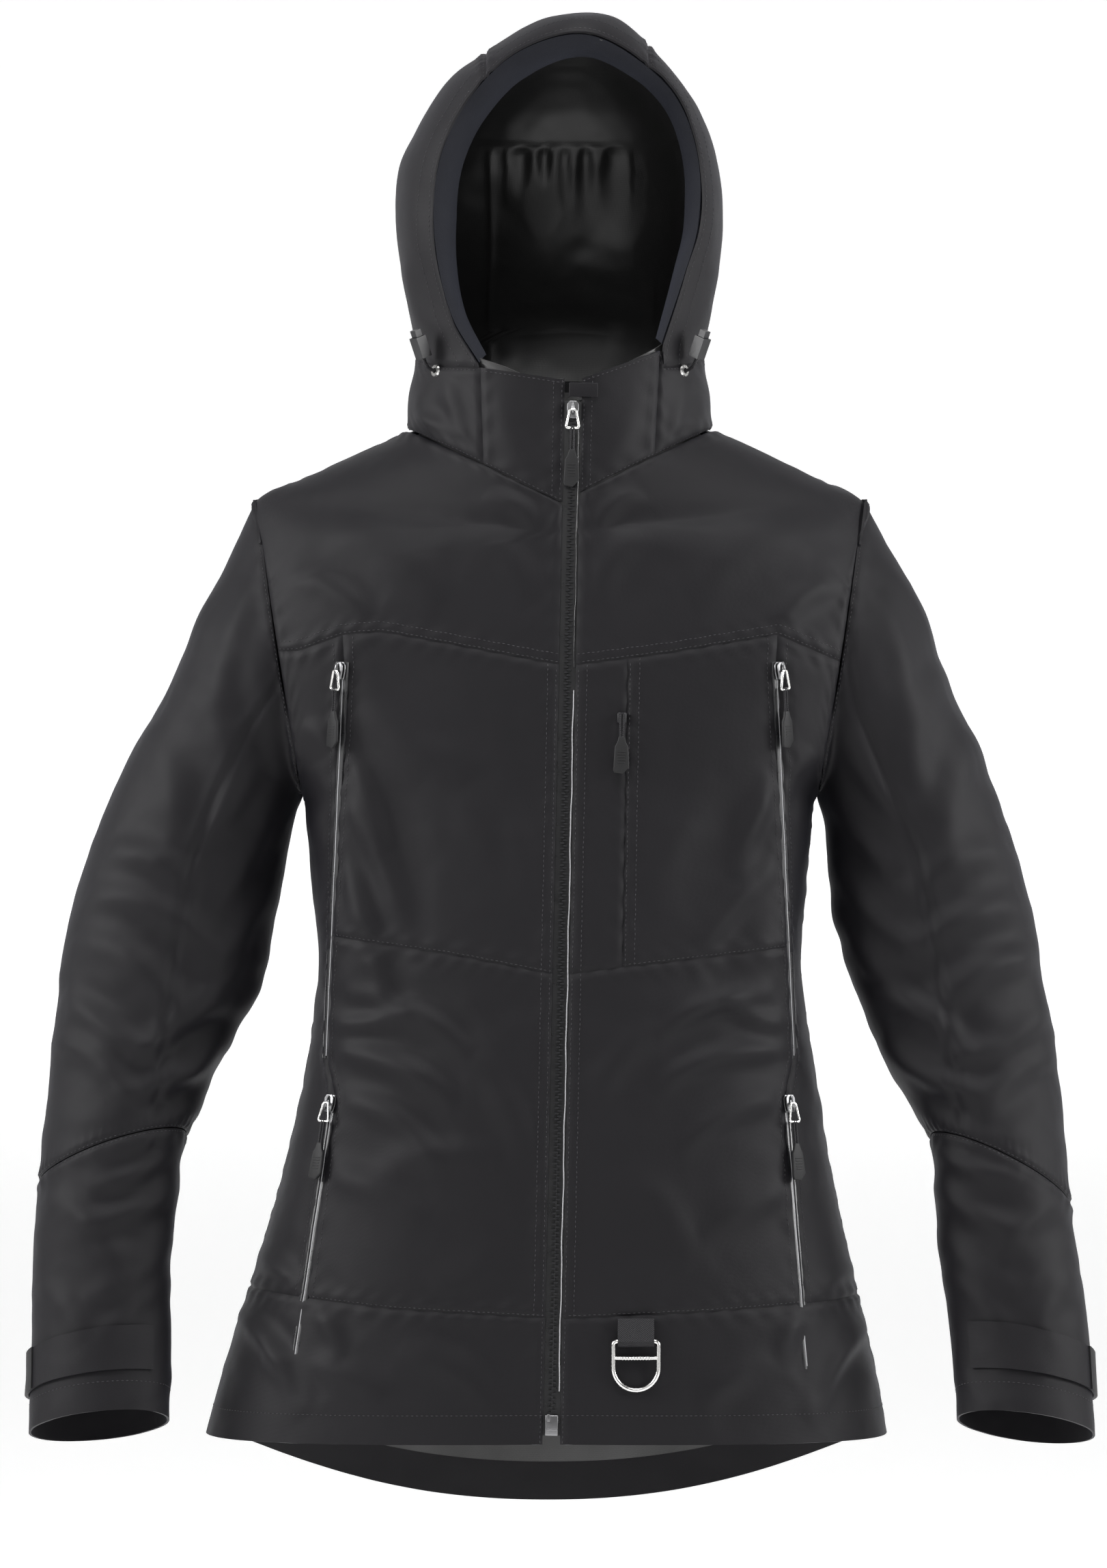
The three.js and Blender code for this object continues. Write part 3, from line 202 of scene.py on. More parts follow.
class Recipe:
    """One material: a Principled shader, and what varies over the surface wired into it."""

    def __init__(self, name, colour, roughness, metallic=0.0, **constants):
        self.material = bpy.data.materials.new(name)
        self.material.use_nodes = True
        self.tree = self.material.node_tree
        self.shader = self.tree.nodes["Principled BSDF"]
        self.put(self.shader.inputs["Base Color"], (*colour, 1))
        self.put(self.shader.inputs["Roughness"], roughness)
        self.put(self.shader.inputs["Metallic"], metallic)
        for key, value in constants.items():
            self.put(self.shader.inputs[key.replace("_", " ")], value)

    def put(self, target, value):
        if isinstance(value, Wire):
            self.tree.links.new(value.output, target)
        else:
            target.default_value = value

    def node(self, kind, settings=None, sockets=None):
        made = self.tree.nodes.new(kind)
        for key, value in (settings or {}).items():
            if key == "stops":
                for stop, (place, colour) in zip(made.color_ramp.elements, value):
                    stop.position = place
                    stop.color = (*colour, 1)
            else:
                setattr(made, key, value)
        for key, value in (sockets or {}).items():
            self.put(made.inputs[key], value)
        return Wire(self, made.outputs[0])

    def set(self, **inputs):
        for key, value in inputs.items():
            self.put(self.shader.inputs[key.replace("_", " ")], value)

    def place(self):
        """Object coordinates, in the frame's metres."""
        return self.node("ShaderNodeTexCoord").part("Object")

    def cloth_axes(self):
        """How far across and up a piece of cloth, in metres along its own surface."""
        flat = self.node("ShaderNodeUVMap", {"uv_map": "cloth"})
        split = self.node("ShaderNodeSeparateXYZ", None, {0: flat})
        return split.part("X"), split.part("Y")

    def noise(self, scale, detail=2.0, vector=None):
        vector = self.place() if vector is None else vector
        return self.node("ShaderNodeTexNoise", None, {"Vector": vector, "Scale": scale, "Detail": detail})

    def blend(self, share, low, high):
        """A colour between two, by a share from 0 to 1."""
        mix = self.node("ShaderNodeMix", {"data_type": "RGBA"})
        node = mix.output.node
        self.put(node.inputs[0], share)
        self.put(node.inputs[6], (*low, 1))
        self.put(node.inputs[7], (*high, 1))
        return Wire(self, node.outputs[2])

    def bump(self, height, strength, distance):
        self.set(Normal=self.node("ShaderNodeBump", None, {
            "Height": height, "Strength": strength, "Distance": distance}))


# %% [markdown]
# ## The cloths
# The shell is a tight softshell weave: matt, nearly black, a little blue where light grazes it. The
# weave's threads are half a millimetre, so they are bump, and slow patches of colour and gloss keep
# large panels from looking like plastic. The lining is a satin with a fine rib. The hood's facing is
# brushed, so it has more sheen and no weave.


# %% Cloth finishes
def shell_cloth():
    cloth = Recipe("shell_cloth", (0.018, 0.0168, 0.0205), 0.52, Sheen_Weight=0.025, Sheen_Roughness=0.35,
                   Sheen_Tint=(0.62, 0.64, 0.85, 1), Specular_IOR_Level=0.16)
    across, up = cloth.cloth_axes()
    thread = 2 * math.pi / 0.0011
    weave = ((across + up) * thread).sine() * ((across - up) * thread).sine()
    patches = cloth.noise(9.0, 3.0)
    fibre = cloth.noise(900.0, 2.0)
    cloth.set(Base_Color=cloth.blend(patches, (0.0028, 0.0025, 0.0033), (0.0046, 0.0042, 0.0054)))
    cloth.set(Roughness=0.5 + 0.12 * patches + 0.05 * fibre)
    cloth.bump(weave * 0.5 + fibre, 0.22, 0.00035)
    return cloth.material


def lining_cloth():
    cloth = Recipe("lining_cloth", (0.0085, 0.0085, 0.0088), 0.36, Sheen_Weight=0.1, Specular_IOR_Level=0.5)
    across, up = cloth.cloth_axes()
    rib = (across * (2 * math.pi / 0.0009)).sine()
    patches = cloth.noise(14.0, 2.0)
    cloth.set(Base_Color=cloth.blend(patches, (0.007, 0.007, 0.0075), (0.0125, 0.0122, 0.0118)))
    cloth.set(Roughness=0.32 + 0.12 * patches)
    cloth.bump(rib * 0.4 + (up * (2 * math.pi / 0.0014)).sine() * 0.2, 0.16, 0.0003)
    return cloth.material


def brushed_cloth():
    cloth = Recipe("brushed_cloth", (0.006, 0.0066, 0.010), 0.85, Sheen_Weight=0.03, Sheen_Roughness=0.5,
                   Sheen_Tint=(0.5, 0.55, 0.8, 1), Specular_IOR_Level=0.2)
    fibre = cloth.noise(1500.0, 3.0)
    cloth.set(Base_Color=cloth.blend(cloth.noise(60.0), (0.003, 0.0034, 0.0055), (0.005, 0.0056, 0.0085)))
    cloth.set(Roughness=0.78 + 0.14 * fibre)
    cloth.bump(fibre, 0.5, 0.0006)
    return cloth.material


def thread_finish():
    thread = Recipe("thread", (0.016, 0.015, 0.018), 0.5)
    thread.set(Roughness=0.42 + 0.2 * thread.noise(2500.0))
    return thread.material


def webbing_finish():
    webbing = Recipe("webbing", (0.008, 0.0077, 0.009), 0.6, Specular_IOR_Level=0.2)
    split = webbing.node("ShaderNodeSeparateXYZ", None, {0: webbing.place()})
    warp, weft = 2 * math.pi / 0.0013, 2 * math.pi / 0.0017
    rib = (split.part("Z") * warp).sine() * (split.part("X") * weft).sine()
    webbing.set(Base_Color=webbing.blend(rib.above(0.0), (0.005, 0.0048, 0.0058), (0.009, 0.0086, 0.0102)))
    webbing.set(Roughness=0.55 + 0.15 * rib)
    webbing.bump(rib, 0.4, 0.0004)
    return webbing.material


SHELL, LINING, BRUSHED, THREAD, WEBBING = (
    shell_cloth(), lining_cloth(), brushed_cloth(), thread_finish(), webbing_finish())
print("cloths", [m.name for m in (SHELL, LINING, BRUSHED, THREAD, WEBBING)])

# %% [markdown]
# ## Metal, rubber and coated zip
# Small fittings are plated zinc: bright on the bails and the ring, dark on the sliders. Plating wears
# in fine scratches, so roughness varies and a faint bump breaks the highlight. Side zips are coated
# with a smooth film; the bright line along its lips is a painted highlight, a light grey bead.


# %% Hard finishes
def metal_finish(name, colour, roughness):
    metal = Recipe(name, colour, roughness, 1.0)
    scratches = metal.noise(700.0, 4.0)
    metal.set(Roughness=roughness + 0.14 * scratches, Base_Color=metal.blend(
        scratches, tuple(0.82 * c for c in colour), colour))
    metal.bump(scratches, 0.12, 0.0002)
    return metal.material


def moulded_finish(name, colour, roughness, grain):
    moulded = Recipe(name, colour, roughness, Specular_IOR_Level=0.25)
    pits = moulded.noise(1200.0, 3.0)
    moulded.set(Roughness=roughness - 0.08 + 0.16 * pits, Base_Color=moulded.blend(
        moulded.noise(80.0), tuple(0.8 * c for c in colour), tuple(1.2 * c for c in colour)))
    moulded.bump(pits, grain, 0.0003)
    return moulded.material


def coated_zip_finish():
    film = Recipe("coated_zip", (0.007, 0.007, 0.008), 0.24, Coat_Weight=0.5, Coat_Roughness=0.15)
    smear = film.noise(120.0, 3.0)
    film.set(Roughness=0.2 + 0.2 * smear,
             Base_Color=film.blend(smear, (0.006, 0.006, 0.007), (0.012, 0.012, 0.013)))
    film.bump(smear, 0.1, 0.0003)
    return film.material


NICKEL = metal_finish("nickel", (0.66, 0.655, 0.64), 0.2)
GUNMETAL = metal_finish("gunmetal", (0.2, 0.2, 0.205), 0.3)
RUBBER = moulded_finish("rubber", (0.006, 0.006, 0.0065), 0.6, 0.3)
PLASTIC = moulded_finish("plastic", (0.010, 0.010, 0.011), 0.38, 0.15)
COATED = coated_zip_finish()

# %% [markdown]
# ## Curves through a few sizes
# The body is described as a pattern cutter would: half widths, depths and heights at the hem, hip,
# waist, chest and shoulder, with a smooth curve through them. Each row round the body is a rounded
# rectangle, and its corners soften toward the shoulders.

# %% Sizes of the body
front_hem, waist, armpit, shoulder = 63.0, 390.0, 510.0, 715.0
neck_front, neck_side, neck_back = 710.0, 764.0, 785.0
hem_half, hip_half, waist_half, chest_half, bulge_half = 238.0, 214.0, 169.0, 181.0, 229.0
shoulder_half, neck_half = 213.0, 107.0
waist_back, chest_back, neck_back_depth = 92.0, 118.0, 62.0
collar_top, collar_half, collar_back = 796.0, 101.0, 80.0
hood_half, hood_back, hood_front, hood_top = 115.0, 117.0, 107.0, 1054.0
zip_bottom = np.array((-6.0, -128.0, 69.0))
zip_top = np.array((9.0, -88.0, 780.0))
zip_opening = 12.0
cloth_wall = 1.7
side_seam_depth = 8.0


def along(keys, position):
    """A smooth curve through [position, value] keys, read at many positions."""
    at = np.array([key[0] for key in keys], float)
    value = np.array([key[1] for key in keys], float)
    position = np.clip(position, at[0], at[-1])
    i = np.clip(np.searchsorted(at, position, "right") - 1, 0, len(at) - 2)
    before, after = np.maximum(i - 1, 0), np.minimum(i + 2, len(at) - 1)
    slope_in = (value[i + 1] - value[before]) / (at[i + 1] - at[before])
    slope_out = (value[after] - value[i]) / (at[after] - at[i])
    span = at[i + 1] - at[i]
    t = (position - at[i]) / span
    rise = t * t * (3 - 2 * t)
    return (value[i] * (1 - rise) + value[i + 1] * rise
            + span * slope_in * t * (1 - t) ** 2 - span * slope_out * t * t * (1 - t))


bulge_height = armpit + 0.52 * (shoulder - armpit)
half_width_keys = [
    (0, hem_half), (front_hem, hem_half), (front_hem + 97, hip_half),
    (front_hem + 180, 0.5 * (hip_half + waist_half) + 1), (waist, waist_half),
    (armpit - 50, 0.45 * waist_half + 0.55 * chest_half), (armpit, chest_half),
    (armpit + 28, 0.5 * (chest_half + bulge_half)), (bulge_height, bulge_half),
    (shoulder - 27, 0.6 * bulge_half + 0.4 * shoulder_half)]
back_depth_keys = [(0, hem_back_depth), (front_hem + 97, hem_back_depth - 8), (waist, waist_back),
                   (armpit + 60, chest_back), (shoulder, chest_back - 12)]
corner_keys = [(0, 2.6), (waist, 2.6), (armpit + 90, 2.7), (shoulder - 50, 2.3), (shoulder - 15, 1.8),
               (shoulder, 1.6)]
centre_keys = [(front_hem, -9), (front_hem + 120, -4), (front_hem + 240, 0)]


def zip_point(height):
    t = (np.asarray(height, float) - zip_bottom[2]) / (zip_top[2] - zip_bottom[2])
    return zip_bottom + t[..., None] * (zip_top - zip_bottom)


def front_depth(height):
    return -zip_point(height)[..., 1]


# %% Rows round the body
# Each row holds: front, side and back heights, then half width, front and back depths, corner, centre.
def level(front, side, back):
    return (front, side, back, along(half_width_keys, side), front_depth(front),
            along(back_depth_keys, back), along(corner_keys, side), along(centre_keys, side), 1.0)


def over_shoulder(t):
    front = neck_front - 22 * (1 - t)
    return (front, shoulder + t * (neck_side - shoulder), shoulder + 8 + t * (neck_back - shoulder - 8),
            shoulder_half + t * (neck_half - shoulder_half), front_depth(front),
            chest_back - 14 + t * (neck_back_depth - chest_back + 14), 1.6 + 0.4 * t, 0.0, 0.0)


body_rows = np.array([
    level(front_hem, front_hem - 2, 0), level(front_hem + 47, front_hem + 44, 60),
    level(front_hem + 97, front_hem + 95, front_hem + 67),
                      level(front_hem + 142, front_hem + 142, front_hem + 132),
    *[level(h, h, h) for h in front_hem + np.array((187, 237, 282, 327, 377, 417, 447.0))],
    *[level(h, h, h) for h in armpit + np.array((28, 62, 105, 145, 178.0))],
    *[over_shoulder(t) for t in (0, 1 / 3, 2 / 3, 1)]], float)


class Loft:
    """A smooth surface through rows. A point on it is an angle round the row and a distance up."""

    def __init__(self, rows, pulled):
        self.rows = rows
        self.pulled = pulled
        steps = np.sqrt((np.diff(rows[:, [1, 3]], axis=0) ** 2).sum(1))
        self.up = np.concatenate([[0], np.cumsum(steps)])

    def row(self, up):
        return [along(list(zip(self.up, self.rows[:, k])), up) for k in range(self.rows.shape[1])]

    def point(self, angle, up):
        angle, up = np.broadcast_arrays(np.asarray(angle, float), np.asarray(up, float))
        front, side, back, half, fore, aft, corner, centre, on = self.row(up)
        s = np.sign(np.sin(angle)) * np.abs(np.sin(angle)) ** (2 / corner)
        c = np.sign(np.cos(angle)) * np.abs(np.cos(angle)) ** (2 / corner)
        share = np.abs(s)
        height = np.where(c > 0, front + (side - front) * share, back + (side - back) * share ** 2.2)
        y = np.where(c > 0, -fore * c, -aft * c)
        if self.pulled:
            y = y + np.where(c > 0, zip_flattening(half * s, height) * np.clip(on, 0, 1), 0)
        return np.stack([centre + half * s, y, height], -1)

    def locate(self, x, z, behind=False):
        """The angle and distance up of the surface's point at x across and z high."""
        x, z = np.broadcast_arrays(np.asarray(x, float), np.asarray(z, float))
        low, high = np.zeros(x.shape), np.full(x.shape, self.up[-1])
        for _ in range(36):
            up = (low + high) / 2
            front, side, back, half, _, _, corner, centre, _ = self.row(up)
            share = np.clip(np.abs(x - centre) / half, 0, 1)
            height = back + (side - back) * share ** 2.2 if behind else front + (side - front) * share
            low, high = np.where(height < z, up, low), np.where(height < z, high, up)
        angle = np.arcsin(share ** (corner / 2)) * np.sign(x - centre)
        return (math.pi - angle if behind else angle), up

    def side_seam(self, up, sign):
        """The angle where the surface is side_seam_depth behind the body's middle."""
        _, _, _, _, _, aft, corner, _, _ = self.row(up)
        c = -((side_seam_depth / aft) ** (corner / 2))
        return sign * np.arccos(c)


vent_zip = ((150.0, 600.0), (163.0, 325.0))
pocket_zip = ((157.0, 300.0), (178.0, 112.0))
flat_reach = 30.0


def plain_front(across, height):
    corner = along(corner_keys, height)
    share = np.minimum(np.abs(across) / along(half_width_keys, height), 1)
    return -front_depth(height) * (1 - share ** corner) ** (1 / corner)


def zip_flattening(across, height):
    """How far the cloth is drawn to the straight line of a side zip."""
    total = np.zeros(np.shape(across))
    for (top_x, top_z), (low_x, low_z) in (vent_zip, pocket_zip):
        t = np.clip((height - low_z) / (top_z - low_z), 0, 1)
        line_x = low_x + t * (top_x - low_x)
        straight = (1 - t) * plain_front(low_x, low_z) + t * plain_front(top_x, top_z)
        shift = np.where((height >= low_z) & (height <= top_z), straight - plain_front(line_x, height), 0)
        total = total + shift * np.exp(-(((np.abs(across) - line_x) / flat_reach) ** 2))
    return total


torso = Loft(body_rows, True)
print("body rows", len(body_rows), "run up", round(torso.up[-1]), "mm")

# %% [markdown]
# ## Panels between seams
# A jacket is sewn from flat panels, so each panel here is a patch of the body's surface between four
# seam lines. The seam lines are drawn as seen from the front, and found on the surface. Between them
# a Coons patch spreads an even grid. Because neighbours share the same seam curve, they meet exactly.


# %% Seam lines and patches
def resampled(line, count, surface=None):
    """The line again with evenly spaced points. Spacing is measured on the surface, if it is given."""
    line = np.asarray(line, float)
    world = surface.point(line[:, 0], line[:, 1]) if surface else line
    run = np.concatenate([[0], np.cumsum(np.linalg.norm(np.diff(world, axis=0), axis=1))])
    at = np.linspace(0, run[-1], count)
    return np.stack([np.interp(at, run, line[:, k]) for k in range(line.shape[1])], 1)


def dense(points, step=4.0):
    points = np.asarray(points, float)
    length = np.linalg.norm(np.diff(points, axis=0), axis=1).sum()
    return resampled(points, max(3, int(length / step)))


def drawn(surface, points, behind=False):
    """A line drawn in front view, as angles and distances up the surface."""
    line = dense(points)
    return np.stack(surface.locate(line[:, 0], line[:, 1], behind), 1)


def patch(surface, bottom, top, left, right, step=3.0):
    """A grid between four curves. It starts at the bottom left corner."""
    def long(line):
        world = surface.point(line[:, 0], line[:, 1])
        return np.linalg.norm(np.diff(world, axis=0), axis=1).sum()
    columns = int(max(long(bottom), long(top)) / step) + 2
    rows = int(max(long(left), long(right)) / step) + 2
    bottom, top = resampled(bottom, columns, surface), resampled(top, columns, surface)
    left, right = resampled(left, rows, surface), resampled(right, rows, surface)
    s = np.linspace(0, 1, columns)[None, :, None]
    t = np.linspace(0, 1, rows)[:, None, None]
    grid = ((1 - t) * bottom[None] + t * top[None] + (1 - s) * left[:, None] + s * right[:, None]
            - (1 - s) * (1 - t) * bottom[0] - s * (1 - t) * bottom[-1]
            - (1 - s) * t * top[0] - s * t * top[-1])
    return surface.point(grid[..., 0], grid[..., 1])


def on_line(points, x):
    points = np.asarray(points, float)
    return float(np.interp(x, points[:, 0], points[:, 1]))


yoke_seam = [(-260, 606), (-181, 608), (-150, 619), (-122, 621), (5, 597), (74, 606), (151, 619),
             (200, 598),
             (260, 596)]
waist_seam = [(-172, 412), (-73, 398), (0, 384), (47, 390), (172, 404)]
hem_seam = [(-300, 170), (-221, 165), (-117, 155), (0, 149), (101, 153), (212, 159), (300, 162)]
pocket_edge = [(47, 604), (43, 389)]


def zip_x(z, sign):
    return float(zip_point(np.array(z))[0]) + sign * zip_opening / 2


def armhole_x(z, sign):
    return sign * (chest_half + (z - armpit) * (shoulder_half - chest_half) / (shoulder - armpit))


def princess_x(z, sign):
    zs, xs = zip(*[(112, 178), (300, 157), (325, 163), (600, 150), (640, 151)])
    middle = float(along(centre_keys, z))
    return middle + sign * float(np.interp(z, zs, xs))


def seam_cross(line, x_of, sign):
    """Where a drawn seam meets another line that is given as x at each height."""
    z = 400.0
    for _ in range(20):
        z = on_line(line, x_of(z, sign))
    return (x_of(z, sign), z)


# %% [markdown]
# ## Folds
# Cloth folds where it is pushed together, under the arms and at the waist. Each fold is a stroke with
# a start, an end, a bow, a width and a height, like a sculptor's tool mark: a soft ridge with a
# shallow valley beside it. The strokes fade beside the side zips, whose tapes hold the cloth flat.
# Slow noise lies under the strokes, so no area is perfectly smooth.

# %% Fold tools
lattice = np.random.RandomState(7).rand(24, 24, 24)


def rumple(points, wave, seed=0):
    """Smooth noise from -1 to 1 whose lumps are about one wave across."""
    p = np.asarray(points, float) / wave + 11.3 * (seed + 1)
    base = np.floor(p).astype(int)
    f = p - base
    f = f * f * (3 - 2 * f)
    total = 0
    for corner in range(8):
        step = np.array([(corner >> k) & 1 for k in range(3)])
        index = (base + step) % 24
        weight = np.prod(np.where(step, f, 1 - f), axis=-1)
        total = total + weight * lattice[index[..., 0], index[..., 1], index[..., 2]]
    return 2 * total - 1


def fold(u, v, start, end, bow, width, height):
    """One tool mark on a surface that has coordinates u and v, in millimetres."""
    start, end = np.array(start, float), np.array(end, float)
    run = end - start
    length = np.linalg.norm(run)
    run = run / length
    du, dv = u - start[0], v - start[1]
    t = (du * run[0] + dv * run[1]) / length
    off = -du * run[1] + dv * run[0] - bow * 4 * t * (1 - t)
    taper = np.clip(t * (1 - t) * 4, 0, 1) ** 0.8 * ((t > 0) & (t < 1))
    ridge = np.exp(-((off / width) ** 2)) - 0.55 * np.exp(-(((off - 1.7 * width) / (1.1 * width)) ** 2))
    return height * taper * ridge


def folded(u, v, strokes):
    total = np.zeros(u.shape)
    for stroke in strokes:
        total += fold(u, v, *stroke)
    return total


# Strokes on the front, drawn in front view: start, end, bow, width, height.
front_strokes = [
    ((-176, 560), (-118, 470), 10, 9, 3.2), ((-170, 530), (-110, 400), 14, 11, 3.0),
    ((-150, 600), (-60, 520), -12, 16, 1.8), ((-172, 500), (-120, 352), 8, 9, 2.6),
    ((-150, 372), (-60, 330), 8, 8, 2.6), ((-165, 330), (-70, 296), 10, 9, 3.2),
                 ((-160, 300), (-80, 250), 12, 9, 2.6),
    ((-168, 352), (-100, 360), -6, 7, 2.4), ((-190, 250), (-90, 214), 8, 11, 2.2),
                 ((-140, 240), (-40, 262), 9, 12, 1.8),
    ((-214, 190), (-150, 120), 10, 9, 3.0), ((-228, 150), (-176, 80), 8, 8, 3.4),
                 ((-205, 120), (-120, 96), 6, 9, 2.0),
    ((-110, 130), (-40, 84), 8, 12, 1.6), ((-60, 330), (-20, 250), 6, 11, 1.5),
                 ((-90, 520), (-20, 440), 10, 18, 1.4),
    ((176, 540), (120, 450), -10, 9, 2.6), ((168, 470), (90, 380), -12, 10, 2.2),
                 ((150, 372), (66, 342), -8, 8, 3.0),
    ((160, 330), (64, 306), -10, 8, 3.2), ((164, 300), (80, 262), -9, 9, 2.6),
                 ((165, 350), (108, 372), 6, 7, 2.2),
    ((190, 236), (96, 206), -9, 11, 2.4), ((206, 180), (150, 116), -10, 9, 3.0),
                 ((218, 140), (170, 76), -7, 8, 3.2),
    ((150, 120), (96, 88), -6, 10, 1.8), ((70, 350), (24, 300), -6, 11, 1.8),
                 ((110, 520), (60, 430), -8, 16, 1.4),
    ((40, 250), (90, 180), 10, 14, 1.4), ((-40, 200), (-90, 170), 7, 13, 1.3),
    ((-160, 690), (-80, 640), 12, 16, 2.0), ((-190, 660), (-130, 626), 8, 10, 2.4),
                 ((-60, 690), (-20, 640), 8, 12, 1.5),
    ((170, 690), (90, 640), -12, 16, 2.0), ((196, 656), (150, 622), -8, 10, 2.2),
                 ((60, 690), (24, 640), -8, 12, 1.6),
    ((-52, 716), (-14, 690), 6, 7, 1.8), ((58, 716), (24, 692), -6, 7, 1.8)]
back_strokes = [
    ((-150, 480), (-30, 400), 18, 14, 4.0), ((150, 470), (20, 390), -18, 14, 4.0),
                ((-120, 400), (40, 372), 10, 11, 4.2),
    ((130, 372), (-60, 340), -10, 12, 4.4), ((-150, 350), (10, 300), 14, 13, 3.6),
                ((150, 330), (20, 280), -12, 13, 3.4),
    ((-180, 240), (-60, 180), 12, 16, 3.0), ((180, 230), (60, 160), -12, 16, 3.0),
                ((-90, 640), (-30, 520), 12, 20, 3.0),
    ((90, 650), (40, 520), -12, 20, 3.0), ((-60, 140), (60, 110), 14, 16, 2.4),
                ((-160, 600), (-110, 500), 10, 14, 3.2),
    ((160, 600), (112, 500), -10, 14, 3.2), ((0, 560), (14, 450), 10, 22, 2.2)]


deepest_valley = 2.4
stroke_strength = 1.6
calm_reach = 11.0


def zip_calm(x, z):
    """Nearly zero beside the side zips and the chest pocket, whose tapes hold the cloth flat. 1 elsewhere."""
    pulled = np.zeros(x.shape)
    chest = ((40.0, 600.0), (40.0, 400.0))
    for (top_x, top_z), (low_x, low_z) in (vent_zip, pocket_zip, chest):
        line = np.interp(z, (low_z, top_z), (low_x, top_x))
        beside = np.exp(-(((np.abs(x) - line) / calm_reach) ** 2))
        beyond = np.maximum(0, np.maximum(low_z - 16 - z, z - top_z - 16))
        pulled = np.maximum(pulled, beside * np.exp(-((beyond / 12) ** 2)))
    return 1 - 0.9 * pulled


def body_folds(points):
    x, z = points[..., 0], points[..., 2]
    depth = points[..., 1]
    front = np.clip((20 - depth) / 40, 0, 1)
    strokes = folded(x, z, front_strokes) * front + folded(x, z, back_strokes) * (1 - front)
    waist_zone = np.exp(-(((z - 350) / 90) ** 2))
    slow = 1.6 * rumple(points, 85) + (0.5 + 0.8 * waist_zone) * rumple(points * (0.7, 1, 1.6), 30, 1)
    marks = stroke_strength * strokes * zip_calm(x, z) + slow + 0.22 * rumple(points, 11, 2)
    return np.where(marks < 0, -deepest_valley * np.tanh(-marks / deepest_valley), marks)


# %% [markdown]
# ## From grid to cloth
# A sewn panel has thickness and turned edges. The grid is pushed along its normals by the folds, its
# edges dip into the seam with a small pucker beside them, and a second layer behind makes the wall.
# Rows of topstitching are real stitches: small lozenges of thread that follow the seam.


# %% Making a wall of cloth
def grid_normals(grid, wrap=False):
    if wrap:
        du = np.roll(grid, -1, 1) - np.roll(grid, 1, 1)
    else:
        du = np.gradient(grid, axis=1)
    dv = np.gradient(grid, axis=0)
    normal = np.cross(du, dv)
    size = np.linalg.norm(normal, axis=-1, keepdims=True)
    return normal / np.maximum(size, 1e-9)


def runs(grid, axis):
    """How far each grid point is along one axis of the grid, in millimetres."""
    step = np.linalg.norm(np.diff(grid, axis=axis), axis=-1)
    start = np.zeros_like(step[:1] if axis == 0 else step[:, :1])
    return np.concatenate([start, np.cumsum(step, axis=axis)], axis)


def edge_distance(grid, seams):
    """How far each point is from the nearest sewn edge. Seams are named bottom, top, left, right."""
    up, across = runs(grid, 0), runs(grid, 1)
    found = {"bottom": up, "top": up[-1:] - up, "left": across, "right": across[:, -1:] - across}
    near = np.full(grid.shape[:2], 1e3)
    for name in seams:
        near = np.minimum(near, found[name])
    return near


def finish_mesh(name, points, faces, uv, material):
    mesh = bpy.data.meshes.new(name)
    mesh.from_pydata(points.tolist(), [], faces.tolist() if hasattr(faces, "tolist") else faces)
    if uv is not None:
        layer = mesh.uv_layers.new(name="cloth")
        index = np.zeros(len(mesh.loops), np.int32)
        mesh.loops.foreach_get("vertex_index", index)
        layer.data.foreach_set("uv", (uv[index] / 1000).astype(np.float32).ravel())
    mesh.materials.append(material)
    mesh.validate()
    mesh.update()
    piece = bpy.data.objects.new(name, mesh)
    bpy.context.scene.collection.objects.link(piece)
    mesh.shade_smooth()
    return piece


def outside_first(points, faces):
    """Turns all faces round if the closed mesh is inside out."""
    a, b, c = (points[faces[:, k]] for k in (0, 1, 2))
    d = points[faces[:, 3]]
    volume = (np.einsum("ij,ij->i", a, np.cross(b, c)) + np.einsum("ij,ij->i", a, np.cross(c, d))).sum()
    return faces[:, ::-1] if volume < 0 else faces


def outward_normals(grid, wrap=False):
    """Normals that point away from a tube's own middle, or away from the jacket's upright middle."""
    normals = grid_normals(grid, wrap)
    away = grid - grid.mean(1, keepdims=True) if wrap else grid * (1, 1, 0)
    return -normals if np.einsum("ijk,ijk->", normals, away) < 0 else normals


def cloth_piece(name, grid, material=SHELL, wall=cloth_wall, wrap=False):
    """A closed wall of cloth behind a grid of jacket points."""
    inner = grid - outward_normals(grid, wrap) * wall
    rows, columns = grid.shape[:2]
    points = np.concatenate([grid.reshape(-1, 3), inner.reshape(-1, 3)])
    index = np.arange(rows * columns).reshape(rows, columns)
    right = np.roll(index, -1, 1) if wrap else index[:, 1:]
    here = index if wrap else index[:, :-1]
    outer = np.stack([here[:-1], right[:-1], right[1:], here[1:]], -1).reshape(-1, 4)
    behind = outer[:, ::-1] + rows * columns
    rims = []
    shift = rows * columns
    for low, high, flip in ((here[0], right[0], True), (here[-1], right[-1], False)):
        rim = np.stack([low, high, high + shift, low + shift], -1)
        rims.append(rim[:, ::-1] if not flip else rim)
    if not wrap:
        for a, b, flip in ((index[:-1, 0], index[1:, 0], False), (index[:-1, -1], index[1:, -1], True)):
            rim = np.stack([a, b, b + shift, a + shift], -1)
            rims.append(rim[:, ::-1] if not flip else rim)
    rims = [rim[:, ::-1] for rim in rims]
    faces = outside_first(points, np.concatenate([outer, behind, *rims]))
    across, up = runs(grid, 1), runs(grid, 0)
    flat = np.stack([across, up], -1).reshape(-1, 2)
    piece = finish_mesh(name, to_frame(points), faces, np.concatenate([flat, flat]), material)
    sharp_rims(piece)
    return piece


def sharp_rims(piece, angle=50):
    bpy.ops.object.select_all(action="DESELECT")
    piece.select_set(True)
    bpy.context.view_layer.objects.active = piece
    bpy.ops.object.shade_smooth_by_angle(angle=math.radians(angle))


